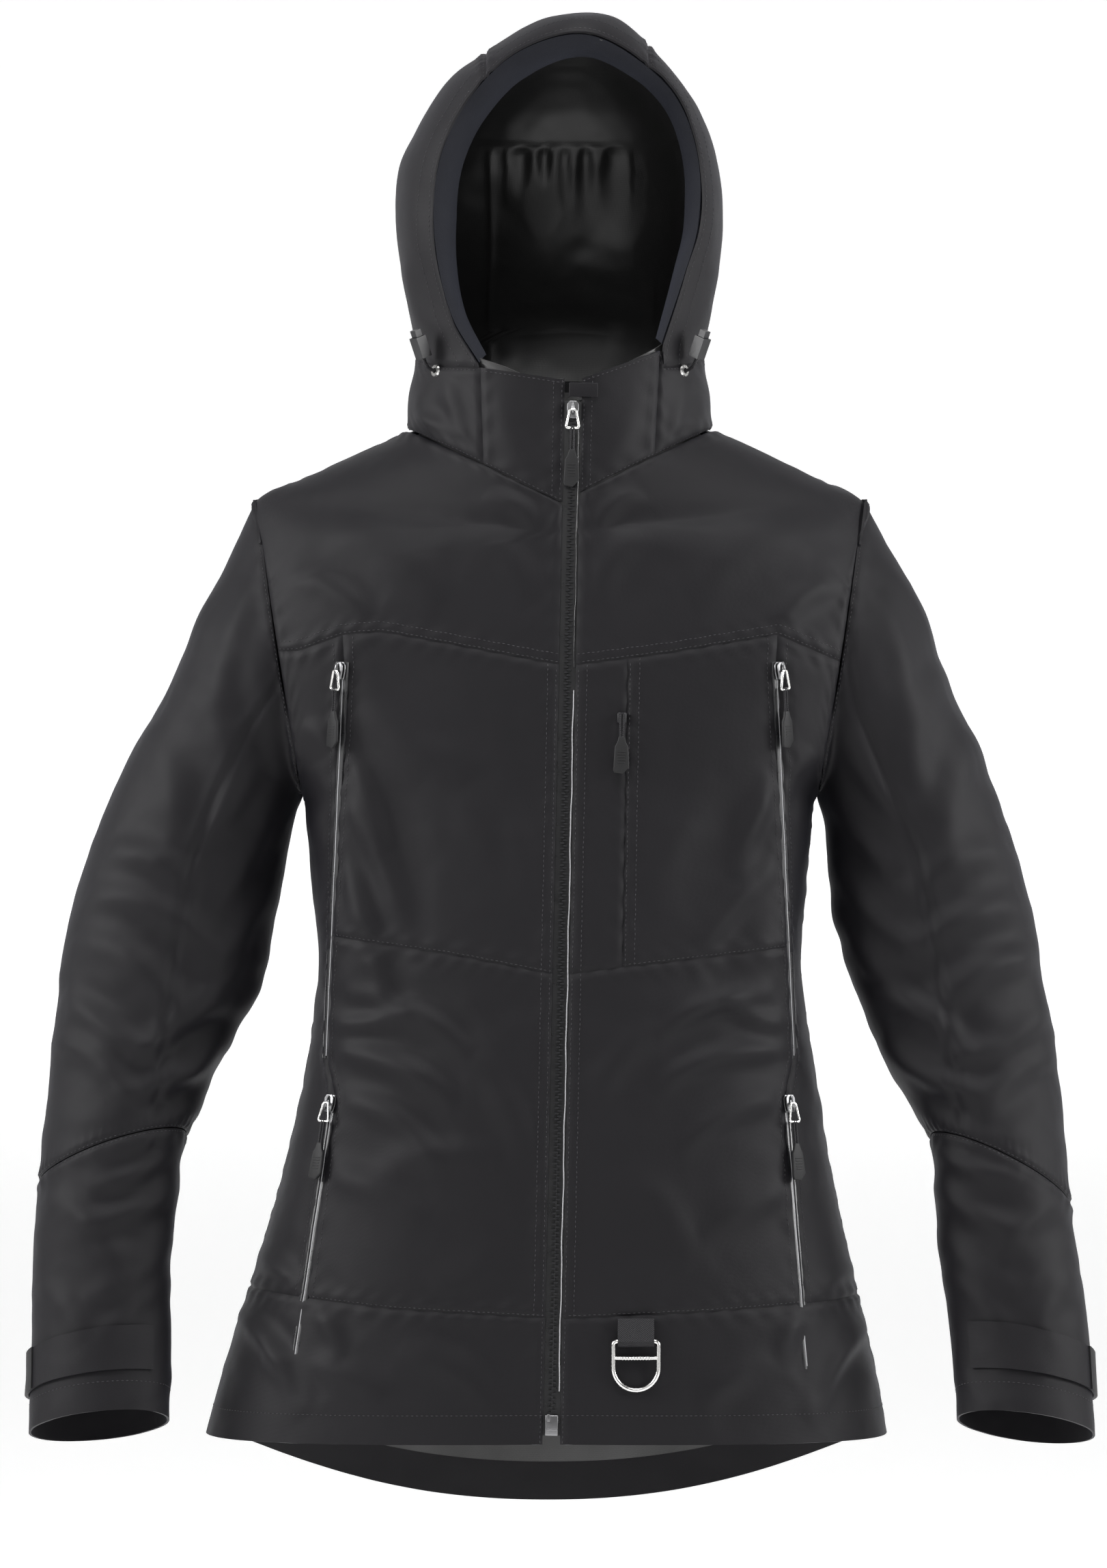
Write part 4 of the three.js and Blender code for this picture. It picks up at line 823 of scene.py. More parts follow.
def seam_shape(distance, run, depth=1.1, pucker=0.55):
    """Height change beside a sewn edge: the turned edge dips, then a soft roll, then fine puckers."""
    dip = -depth * np.exp(-((distance / 1.6) ** 2))
    roll = 0.45 * np.exp(-(((distance - 4.5) / 2.6) ** 2))
    ripple = pucker * np.exp(-((distance / 9.0) ** 2)) * np.sin(run / 2.6 + 2.0 * np.sin(run / 23.0))
    return dip + roll + ripple * np.clip(distance / 3.0, 0, 1)


stitches = {}


def stitch_rows(body, line, normals, pitch=3.4, long=2.5):
    """Thread lozenges along a line of jacket points, kept until all panels are made."""
    step = np.linalg.norm(np.diff(line, axis=0), axis=1)
    run = np.concatenate([[0], np.cumsum(step)])
    count = int(run[-1] / pitch)
    if count < 2:
        return
    at = (np.arange(count) + 0.5) * pitch
    centre = np.stack([np.interp(at, run, line[:, k]) for k in range(3)], 1)
    ahead = np.stack([np.interp(at + 0.5, run, line[:, k]) for k in range(3)], 1) - centre
    ahead /= np.maximum(np.linalg.norm(ahead, axis=1, keepdims=True), 1e-9)
    out = np.stack([np.interp(at, run, normals[:, k]) for k in range(3)], 1)
    out /= np.maximum(np.linalg.norm(out, axis=1, keepdims=True), 1e-9)
    side = np.cross(ahead, out)
    centre = centre + 0.12 * out
    corners = [centre - ahead * long / 2, centre + side * 0.28, centre + out * 0.26, centre - side * 0.28,
               centre - out * 0.2, centre + ahead * long / 2]
    key = body if isinstance(body, str) else "_".join(body[:2])
    stitches.setdefault(key, (body, []))[1].append(np.stack(corners, 1).reshape(-1, 3))


def sew(body, grid, normals, edge, inset):
    """A row of stitches a set distance in from one edge of a grid."""
    if edge in ("bottom", "top"):
        lines = grid if edge == "bottom" else grid[::-1]
        facing = normals if edge == "bottom" else normals[::-1]
    else:
        lines = np.swapaxes(grid, 0, 1) if edge == "left" else np.swapaxes(grid, 0, 1)[::-1]
        facing = np.swapaxes(normals, 0, 1) if edge == "left" else np.swapaxes(normals, 0, 1)[::-1]
    far = runs(lines, 0)
    k = np.argmax(far >= inset, axis=0)
    j = np.arange(lines.shape[1])
    k = np.maximum(k, 1)
    t = ((inset - far[k - 1, j]) / np.maximum(far[k, j] - far[k - 1, j], 1e-6))[:, None]
    line = lines[k - 1, j] * (1 - t) + lines[k, j] * t
    stitch_rows(body, line, facing[k, j])


def flat_size(grid):
    """The cut size of a panel: its longest run across and up, and its area."""
    across, up = runs(grid, 1)[:, -1].max(), runs(grid, 0)[-1].max()
    a = np.cross(grid[1:, :-1] - grid[:-1, :-1], grid[:-1, 1:] - grid[:-1, :-1])
    area = np.linalg.norm(a, axis=-1).sum()
    return across / 1000, up / 1000, area / 1e6


def carry(piece, body):
    """A piece rides one body. When body holds two names and a line, its place is only baked into its mesh,
    and it rides no body.
    """
    if isinstance(body, tuple):
        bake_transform(piece)
    else:
        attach(piece, body)


def sewn_panel(name, smooth, folds, body="root", seams=("bottom", "top", "left", "right"), stitched=(),
               replaces=(), slot="shell_cloth", wrap=False, material=SHELL, declare=True):
    """One panel: folds and seam edges added to a smooth grid, then wall and stitches, carried by its body,
    with the frame's parts it replaces hidden.
    """
    normals = outward_normals(smooth, wrap)
    distance = edge_distance(smooth, seams)
    run = runs(smooth, 0) + runs(smooth, 1)
    fade = np.clip(distance / 14.0, 0.25, 1)
    height = folds(smooth) * fade + seam_shape(distance, run)
    grid = smooth + normals * height[..., None]
    piece = cloth_piece(name, grid, material, wrap=wrap)
    facing = outward_normals(grid, wrap)
    for edge, inset in stitched:
        sew(body, grid, facing, edge, inset)
    carry(piece, body)
    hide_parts(*(replaces or (name.replace("_cloth", ""),)))
    width, length, area = flat_size(smooth)
    print(name, grid.shape[:2], "flat", round(width, 3), "x", round(length, 3), "m")
    return grid


# %% [markdown]
# ## The body's panels
# Front panels run from the zip to the princess seam, where the side zips are set. Side panels run from
# there round to the side seam and up to the armhole. The back is one panel with a dropped hem.

# %% Front panels
SIDES = (("right", -1), ("left", 1))


def column(surface, x_of, sign, low, high):
    """A line up the front, given as x at each height."""
    heights = np.linspace(low, high, 60)
    return np.stack(surface.locate([x_of(z, sign) for z in heights], heights), 1)


def zip_lip(z, sign):
    """The front panel's edge along the side zip, clear of the coated strip."""
    inside = 0.0 if z > 604 or z < 108 else 0.5
    return princess_x(z, sign) - sign * inside


def seam_between(line, x_low, x_high):
    """The part of a drawn seam between two places across."""
    line = np.asarray(line, float)
    inner = [tuple(p) for p in line if min(x_low, x_high) < p[0] < max(x_low, x_high)]
    ends = [(x_low, on_line(line, x_low)), (x_high, on_line(line, x_high))]
    middle = sorted(inner, key=lambda p: p[0], reverse=x_high < x_low)
    return drawn(torso, [ends[0], *middle, ends[1]])


def front_panel(name, sign, low_seam, high_seam, inner_of, outer_of, **options):
    """A panel between two cross seams and two upright lines."""
    inner_low, inner_high = (seam_cross(seam, inner_of, sign) for seam in (low_seam, high_seam))
    outer_low, outer_high = (seam_cross(seam, outer_of, sign) for seam in (low_seam, high_seam))
    bottom = seam_between(low_seam, inner_low[0], outer_low[0])
    top = seam_between(high_seam, inner_high[0], outer_high[0])
    left = column(torso, inner_of, sign, inner_low[1], inner_high[1])
    right = column(torso, outer_of, sign, outer_low[1], outer_high[1])
    return sewn_panel(name, patch(torso, bottom, top, left, right), body_folds, **options)


def pocket_x(z, sign):
    return on_line([(p[1], p[0]) for p in reversed(pocket_edge)], z)


zip_stitched = [("left", 2.0), ("left", 8.0)]
front_panel("chest_right_cloth", -1, waist_seam, yoke_seam, zip_x, zip_lip,
            stitched=[*zip_stitched, ("bottom", 1.8), ("right", 7.5)])
front_panel("chest_left_cloth", 1, waist_seam, yoke_seam, zip_x, pocket_x, stitched=[*zip_stitched])
front_panel("chest_pocket_cloth", 1, waist_seam, yoke_seam, pocket_x, zip_lip,
            replaces=("chest_pocket_panel",),
            stitched=[("left", 2.0), ("left", 8.5), ("bottom", 1.8), ("right", 7.5)])
for side, sign in SIDES:
    front_panel(f"lower_front_{side}_cloth", sign, hem_seam, waist_seam, zip_x, zip_lip,
                stitched=[*zip_stitched, ("bottom", 1.8), ("right", 7.5)])

# %% Yokes
for side, sign in SIDES:
    inner = seam_cross(yoke_seam, zip_x, sign)
    outer = seam_cross(yoke_seam, armhole_x, sign)
    bottom = seam_between(yoke_seam, inner[0], outer[0])
    opening = column(torso, zip_x, sign, inner[1], neck_front)
    neck_up = torso.up[-1]
    seam_angle = float(torso.side_seam(neck_up, sign))
    neckline = np.stack([np.linspace(opening[-1][0], seam_angle, 60), np.full(60, neck_up)], 1)
    hole = column(torso, armhole_x, sign, outer[1], shoulder - 1)
    top_up = np.linspace(hole[-1][1], neck_up, 60)
    ridge = np.stack([torso.side_seam(top_up, sign), top_up], 1)
    ridge[0] = hole[-1]
    left = np.concatenate([opening, neckline[1:]])
    sewn_panel(f"yoke_{side}_cloth", patch(torso, bottom, ridge[::-1], left, hole), body_folds,
               replaces=(f"yoke_{side}",), stitched=[("bottom", 1.8), ("bottom", 7.5)])

# %% Side panels, hem and back
seam_start = torso.side_seam
for side, sign in SIDES:
    low = seam_cross(hem_seam, zip_lip, sign)
    high = seam_cross(yoke_seam, zip_lip, sign)
    corner = seam_cross(yoke_seam, armhole_x, sign)
    front_edge = column(torso, zip_lip, sign, low[1], high[1])
    top = seam_between(yoke_seam, high[0], corner[0])
    hem_end = on_line(hem_seam, sign * 212)
    up = np.linspace(torso.locate(sign * 200, hem_end)[1], torso.locate(sign * chest_half, armpit)[1], 80)
    side_edge = np.stack([seam_start(up, sign), up], 1)
    hole = column(torso, armhole_x, sign, armpit + 1, corner[1])
    outer = np.concatenate([side_edge[:-2], hole])
    bottom = drawn(torso, [low, (sign * 205, hem_end)])
    bottom = np.concatenate([bottom, side_edge[:1]])
    sewn_panel(f"side_panel_{side}_cloth", patch(torso, bottom, top, front_edge, outer), body_folds,
               replaces=(f"side_panel_{side}",), stitched=[("left", 7.5)])

for side, sign in SIDES:
    start = seam_cross(hem_seam, zip_x, sign)
    hem_end = on_line(hem_seam, sign * 212)
    side_up = torso.locate(sign * 200, hem_end)[1]
    top = np.concatenate([drawn(torso, [start, *[p for p in hem_seam if 0 < sign * p[0] < 205][::sign],
                                        (sign * 205, hem_end)]),
                          [[float(seam_start(side_up, sign)), float(side_up)]]])
    foot = torso.locate(zip_x(front_hem, sign), front_hem + 0.5)
    bottom = np.stack([np.linspace(float(foot[0]), float(seam_start(0.0, sign)), 90), np.zeros(90)], 1)
    left = column(torso, zip_x, sign, front_hem, start[1])
    rise = np.linspace(0, float(side_up), 40)
    right = np.stack([seam_start(rise, sign), rise], 1)
    sewn_panel(f"hem_{side}_cloth", patch(torso, bottom, top, left, right), body_folds,
               seams=("top", "left", "right"), replaces=(f"hem_{side}",),
               stitched=[("bottom", 20.0), ("left", 2.0)])


def back_row(up):
    """A row across the back, from one side seam to the other."""
    from_angle = float(seam_start(up, 1))
    angles = np.linspace(from_angle, 2 * math.pi + float(seam_start(up, -1)), 160)
    return np.stack([angles, np.full(160, float(up))], 1)


def back_line(points):
    angle, up = torso.locate(*np.asarray(dense(points)).T, True)
    angle = np.where(angle < 0, angle + 2 * math.pi, angle)
    return np.stack([angle, up], 1)


back_seam_up = float(torso.up[2]) + 26.0
low, high = back_row(0.0), back_row(back_seam_up)
rise = np.linspace(0, back_seam_up, 40)
edges = [np.stack([seam_start(rise, sign) + (0 if sign > 0 else 2 * math.pi), rise], 1) for _,
         sign in SIDES[::-1]]
sewn_panel("hem_back_cloth", patch(torso, low, high, edges[0], edges[1], 3.6), body_folds,
           seams=("top", "left", "right"), replaces=("hem_back",),
           stitched=[("bottom", 20.0), ("top", 1.8)])

pit_up = float(torso.locate(chest_half, armpit + 1)[1])
shoulder_up = float(torso.locate(shoulder_half, shoulder - 1)[1])
outline = []
for sign in (1, -1):
    wrap = 0 if sign > 0 else 2 * math.pi
    rise = np.linspace(back_seam_up, pit_up, 60)
    lower = np.stack([seam_start(rise, sign) + wrap, rise], 1)
    hole = back_line([(armhole_x(z, sign), z) for z in np.linspace(armpit + 2, shoulder - 2, 40)])
    rise = np.linspace(shoulder_up, torso.up[-1], 40)
    ridge = np.stack([seam_start(rise, sign) + wrap, rise], 1)
    outline.append((np.concatenate([lower, hole]), ridge))
top = np.concatenate([outline[0][1], back_row(torso.up[-1])[1:-1], outline[1][1][::-1]])
sewn_panel("back_cloth", patch(torso, high, top, outline[0][0], outline[1][0], 3.6), body_folds,
           replaces=("back_panel",), stitched=[("bottom", 1.8)])

# %% [markdown]
# ## Collar and hood
# Collar and hood are one more lofted surface, from the neck to the top of the hood. Above the face the
# rows lean forward a little, so that the dome closes over a point near its front. The side panels meet
# the centre strip at two upright planes, and the collar meets the hood at a seam that rises to the back.

# %% Rows of the collar and hood
collar_power = 2.2


def hood_level(share):
    return collar_top + share * (hood_top - collar_top)


def ring_row(front, side, back, half, fore, aft, power=collar_power, centre=0.0):
    return (front, side, back, half, fore, aft, power, centre, 0.0)


def flat_row(share, half, fore, aft, centre=0.0, power=collar_power):
    return ring_row(*[hood_level(share)] * 3, half, fore, aft, power, centre)


neck_rows = np.array([
    ring_row(neck_front + 0.4, neck_side + 0.4, neck_back + 0.4, neck_half, front_depth(neck_front),
             neck_back_depth,
             2.0),
    ring_row(755, 788, 812, 0.5 * (neck_half + collar_half) + 2, front_depth(755), 71, 2.1),
    ring_row(collar_top, 815, 838, collar_half, front_depth(collar_top), collar_back),
    ring_row(hood_level(0.163), hood_level(0.209), hood_level(0.264), collar_half + 5, hood_front - 15,
             collar_back + 17),
    ring_row(hood_level(0.318), hood_level(0.326), hood_level(0.349), hood_half - 3, hood_front - 10,
             hood_back - 8),
    flat_row(0.45, hood_half, hood_front - 5, hood_back - 1),
                      flat_row(0.597, hood_half - 3, hood_front - 2, hood_back),
    flat_row(0.729, hood_half - 17, hood_front, hood_back - 7, 3),
    flat_row(0.829, hood_half - 36, hood_front - 5, hood_back - 15, 4),
    flat_row(0.915, hood_half - 61, hood_front - 19, hood_back - 29, 9, 2.1),
    flat_row(0.969, hood_half - 81, hood_front - 41, hood_back - 51, 13, 2.0),
    flat_row(0.99, 19, 37, 37, 16, 2.0), flat_row(1.0, 0.4, 0.6, 0.6, 17, 2.0)], float)


class Hood(Loft):
    """A loft whose rows lean forward near the top."""

    lean = [(0.0, 0.0), (0.729, 0.0), (0.829, -5.0), (0.915, -15.0), (0.969, -21.0), (1.0, -26.0)]

    def point(self, angle, up):
        found = super().point(angle, up)
        share = (found[..., 2] - collar_top) / (hood_top - collar_top)
        found[..., 1] += along(self.lean, share)
        return found


hood = Hood(neck_rows, False)
face_opening = [(x, hood_level(share)) for x, share in (
    (-57, 0.039), (-76, 0.163), (-87, 0.326), (-89, 0.492), (-82, 0.628), (-64, 0.756), (-30, 0.876),
                                                        (17, 0.922),
    (58, 0.853), (84, 0.756), (98, 0.597), (98, 0.422), (88, 0.279), (72, 0.093))]
strip_centre, strip_half = 5, 57
hood_seam = [(-110, hood_level(0.016)), (-55, hood_level(0.039)), (0, hood_level(0.081)),
             (90, hood_level(0.178)),
             (140, hood_level(0.209))]


def rounded(points, count=160):
    """A smooth line through a few drawn points."""
    points = np.asarray(points, float)
    run = np.concatenate([[0], np.cumsum(np.linalg.norm(np.diff(points, axis=0), axis=1))])
    at = np.linspace(0, run[-1], count)
    return np.stack([along(list(zip(run, points[:, k])), at) for k in range(2)], 1)


face = rounded(face_opening)
face_line = np.stack(hood.locate(face[:, 0], face[:, 1]), 1)


def seam_up(angle):
    """How far up the hood its seam with the collar is, at each angle."""
    angle = np.asarray(angle, float)
    low, high = np.zeros(angle.shape), np.full(angle.shape, hood.up[6])
    for _ in range(36):
        up = (low + high) / 2
        place = hood.point(angle, up)
        under = place[..., 2] < np.interp(place[..., 1], *zip(*hood_seam))
        low, high = np.where(under, up, low), np.where(under, high, up)
    return up


def strip_line(x):
    """The line over the hood at one x, from the face's edge over the top and down to the collar's seam."""
    upper = face[face[:, 1] > hood_level(0.6)]
    order = np.argsort(upper[:, 0])
    start = np.interp(x, upper[order, 0], upper[order, 1])
    ups = np.linspace(0, hood.up[-1], 1500)
    _, _, _, half, _, _, _, centre, _ = hood.row(ups)
    inside = np.abs(x - centre) < half
    crest = ups[np.max(np.nonzero(inside))]
    first = float(hood.locate(x, start)[1])
    front_up = first + (crest - first) * np.sin(np.linspace(0, math.pi / 2, 80))
    back_up = crest * np.sin(np.linspace(math.pi / 2, 0, 200))

    def at(up, behind):
        _, _, _, half, _, _, corner, centre, _ = hood.row(up)
        share = np.clip(np.abs(x - centre) / half, 0, 1)
        angle = np.arcsin(share ** (corner / 2)) * np.sign(x - centre)
        return math.pi - angle if behind else angle
    back_angle = at(back_up, True)
    keep = back_up > seam_up(back_angle)
    turn = 0 if x > strip_centre else -2 * math.pi
    front = np.stack([at(front_up, False), front_up], 1)
    back = np.stack([back_angle[keep] + turn, back_up[keep]], 1)
    end = back_angle[keep][-1]
    return front, np.concatenate([back, [[end + turn, float(seam_up(end))]]])


# %% Collar panels
collar_seams = ([(-52, 690), (-57, 850)], [(63, 690), (72, 850)])


def collar_x(z, sign):
    line = collar_seams[0 if sign < 0 else 1]
    return on_line([(p[1], p[0]) for p in line], z)


def hood_folds(points):
    x, z = points[..., 0], points[..., 2]
    front = np.clip((10 - points[..., 1]) / 40, 0, 1)
    marks = folded(x, z, hood_strokes) * front
    back = np.clip(points[..., 1] / 40, 0, 1)
    marks = marks + folded(x, z, hood_back_strokes) * back
    return marks + 1.1 * rumple(points, 60, 3) + 0.4 * rumple(points, 24, 4) + 0.15 * rumple(points, 10, 5)


hood_strokes = [
    ((-100, 790), (-56, 716), -6, 7, 3.0), ((-80, 800), (-50, 726), -5, 6, 2.6),
                ((-104, 770), (-70, 752), 4, 6, 2.0),
    ((102, 788), (66, 722), 6, 7, 3.0), ((88, 800), (62, 736), 5, 6, 2.2),
                ((100, 768), (76, 750), -4, 6, 1.8),
    ((-44, 790), (-20, 730), -3, 9, 1.2), ((56, 790), (30, 734), 3, 9, 1.2),
    ((-110, 880), (-90, 830), -4, 7, 2.0), ((-112, 930), (-96, 870), 4, 9, 1.4),
                ((110, 880), (98, 830), 4, 7, 1.8),
    ((112, 940), (102, 880), -4, 9, 1.4), ((-104, 970), (-60, 1020), 6, 12, 1.3),
                ((96, 980), (60, 1020), -6, 12, 1.2)]
hood_back_strokes = [
    ((-80, 880), (60, 846), 10, 10, 3.2), ((70, 900), (-40, 872), -8, 12, 2.6),
                     ((-60, 960), (30, 930), 8, 16, 2.0),
    ((-70, 800), (-20, 830), 8, 9, 2.2), ((70, 806), (24, 832), -8, 9, 2.2)]


def hood_column(x_of, sign, low, high):
    heights = np.linspace(low, high, 40)
    return np.stack(hood.locate([x_of(z, sign) for z in heights], heights), 1)


collar_ends = {}
for side, sign in SIDES:
    outer_up = hood_column(collar_x, sign, 728, 804 if sign < 0 else 816)
    outer_up[0] = (outer_up[0][0], 0.0)
    inner_up = hood_column(zip_x, sign, 711, collar_top)
    inner_up[0] = (inner_up[0][0], 0.0)
    foot = np.stack([np.linspace(inner_up[0][0], outer_up[0][0], 40), np.zeros(40)], 1)
    rim = np.stack([np.linspace(inner_up[-1][0], outer_up[-1][0], 40),
                    np.linspace(inner_up[-1][1], outer_up[-1][1], 40)], 1)
    collar_ends[side] = outer_up
    sewn_panel(f"collar_front_{side}_cloth", patch(hood, foot, rim, inner_up, outer_up), hood_folds,
               seams=("bottom", "left", "right"), replaces=(f"collar_front_{side}",),
               stitched=[("left", 2.0), ("left", 8.0), ("top", 2.2), ("bottom", 1.8)])

start, end = collar_ends["left"], collar_ends["right"] + (2 * math.pi, 0)
around = np.linspace(start[0][0], end[0][0], 240)
foot = np.stack([around, np.zeros(240)], 1)
around = np.linspace(start[-1][0], end[-1][0], 240)
rim = np.stack([around, seam_up(around)], 1)
rim[0], rim[-1] = start[-1], end[-1]
sewn_panel("collar_wrap_cloth", patch(hood, foot, rim, start, end), hood_folds, replaces=("collar_wrap",),
           stitched=[("top", 1.8), ("bottom", 1.8)])

# %% Hood side panels
for side, sign in SIDES:
    x = strip_centre + sign * strip_half
    front, back = strip_line(x)
    edge = face_line if sign < 0 else face_line[::-1]
    places = hood.point(edge[:, 0], edge[:, 1])
    beyond = np.nonzero((sign * places[:, 0] < sign * x) & (places[:, 2] > hood_level(0.6)))[0][0]
    rise = edge[:beyond]
    rise = rise[places[:beyond, 2] > np.interp(places[:beyond, 1], *zip(*hood_seam))]
    rise = np.concatenate([[[rise[0][0], float(seam_up(rise[0][0]))]], rise, front[:1]])
    around = np.linspace(rise[0][0], back[-1][0], 160)
    foot = np.stack([around, seam_up(around)], 1)
    smooth = patch(hood, foot, np.concatenate([front, back[:30]]), rise, back[30:][::-1])
    sewn_panel(f"hood_{side}_cloth", smooth, hood_folds, seams=("bottom", "top", "right"),
               replaces=(f"hood_{side}",),
               stitched=[("left", 3.0), ("left", 16.0), ("right", 1.8), ("top", 1.8)])

# %% The strip over the hood
across = np.linspace(strip_centre - strip_half, strip_centre + strip_half, 42)
columns_over = []
for x in across:
    front, back = strip_line(float(x))
    line = np.concatenate([hood.point(front[:, 0], front[:, 1]), hood.point(back[1:, 0], back[1:, 1])])
    columns_over.append(resampled(line, 130))
sewn_panel("hood_centre_cloth", np.stack(columns_over, 1), hood_folds, seams=("left", "right", "top"),
           replaces=("hood_centre",),
           stitched=[("bottom", 3.0), ("bottom", 16.0), ("left", 1.8), ("right", 1.8)])

# %% [markdown]
# ## Sleeves
# A sleeve starts as the line where the armhole's plane cuts the body, and then follows rows down the
# arm: each row is an oval between an outer and an inner point. The arm hangs a little forward, and the
# elbow bends the rows. Strokes drawn in front view make the elbow's creases and the heavy folds above it.

# %% Rows of the sleeves
# Each row: outer point from the shoulder, inner point from the armpit, depth, half depth, pitch.
sleeve_rows = {
    "right": [((27, -58), (1, -6), 2, 70, 0), ((68, -140), (6, -24), 2, 66, 0),
              ((96, -194), (11, -48), 0, 63, 2),
              ((124, -265), (18, -86), -6, 61, 4), ((136, -331), (26, -134), -13, 59, 8),
              ((143, -397), (50, -178), -22, 54, 12), ((151, -477), (79, -238), -36, 49, 17),
              ((153, -525), (87, -296), -46, 45, 19), ((154, -585), (89, -364), -58, 41, 20),
              ((155, -649), (90, -434), -72, 38, 20)],
    "left": [((30, -58), (1, -6), 2, 70, 0), ((68, -140), (5, -24), 2, 66, 0),
             ((89, -194), (7, -46), 0, 63, 2),
             ((113, -269), (11, -86), -6, 61, 4), ((128, -343), (22, -130), -13, 59, 8),
             ((137, -415), (45, -188), -22, 54, 12), ((144, -493), (77, -240), -36, 49, 17),
             ((150, -537), (82, -302), -46, 45, 19), ((155, -591), (89, -368), -58, 41, 20),
             ((158, -651), (94, -434), -72, 38, 20)]}
elbow_ring = 7
around_sleeve = 150
armhole_tilt = math.atan2(shoulder_half - chest_half, shoulder - armpit)

probe = torso.point(np.linspace(0, 2 * math.pi, 361)[None, :], np.linspace(0, torso.up[-1], 220)[:, None])
count = probe.shape[1]
corner = (np.arange(219)[:, None] * count + np.arange(360)[None, :]).reshape(-1)
torso_tree = BVHTree.FromPolygons(probe.reshape(-1, 3).tolist(), np.stack(
    [corner, corner + 1, corner + count + 1, corner + count], 1).tolist())


def armhole(sign):
    """The armhole plane's way out, its way up and its centre."""
    out = np.array((sign * math.cos(armhole_tilt), 0, -math.sin(armhole_tilt)))
    up = np.array((sign * math.sin(armhole_tilt), 0, math.cos(armhole_tilt)))
    return out, up, np.array((sign * (shoulder_half + chest_half) / 2, 0, (shoulder + armpit) / 2))


def sleeve_rings(side, sign):
    angles = np.linspace(0, 2 * math.pi, around_sleeve, endpoint=False)
    out, up, centre = armhole(sign)
    reach = 0.5 * math.hypot(shoulder_half - chest_half, shoulder - armpit)
    first = []
    for angle in angles:
        way = up * math.cos(angle) + np.array((0, math.sin(angle), 0))
        distance = torso_tree.ray_cast(Vector(centre), Vector(way))[3]
        first.append(centre + way * min(distance or reach, reach) + out * 0.4)
    rings = [np.array(first)]
    for outward, inward, depth, half_depth, pitch in sleeve_rows[side]:
        outer = np.array((sign * (shoulder_half + outward[0]), depth, shoulder + outward[1]))
        inner = np.array((sign * (chest_half + inward[0]), depth, armpit + inward[1]))
        tilt = math.radians(pitch)
        deep = np.array((0, math.cos(tilt), -math.sin(tilt))) * half_depth
        rings.append((outer + inner) / 2 + np.cos(angles)[:, None] * (outer - inner) / 2
                     + np.sin(angles)[:, None] * deep)
    return np.array(rings)


def swept(rings, at):
    """Smooth rows between rings, at distances along the middle line."""
    run = np.concatenate([[0], np.cumsum(np.linalg.norm(np.diff(rings.mean(1), axis=0), axis=1))])
    i = np.clip(np.searchsorted(run, at, "right") - 1, 0, len(run) - 2)
    before, after = np.maximum(i - 1, 0), np.minimum(i + 2, len(run) - 1)

    def flat(values):
        return values[:, None, None]
    slope_in = (rings[i + 1] - rings[before]) / flat(run[i + 1] - run[before])
    slope_out = (rings[after] - rings[i]) / flat(run[after] - run[i])
    span = flat(run[i + 1] - run[i])
    t = flat((at - run[i]) / (run[i + 1] - run[i]))
    rise = t * t * (3 - 2 * t)
    return (rings[i] * (1 - rise) + rings[i + 1] * rise
            + span * slope_in * t * (1 - t) ** 2 - span * slope_out * t * t * (1 - t))


def middle_run(rings):
    return np.concatenate([[0], np.cumsum(np.linalg.norm(np.diff(rings.mean(1), axis=0), axis=1))])


sleeve_seams = {
    "right": [(-181, 608), (-200, 578), (-216, 554), (-238, 510), (-257, 456), (-270, 380), (-281, 274),
              (-282, 200)],
    "left": [(200, 597), (205, 570), (225, 521), (249, 466), (257, 423), (268, 350), (280, 261),
             (282, 200)]}
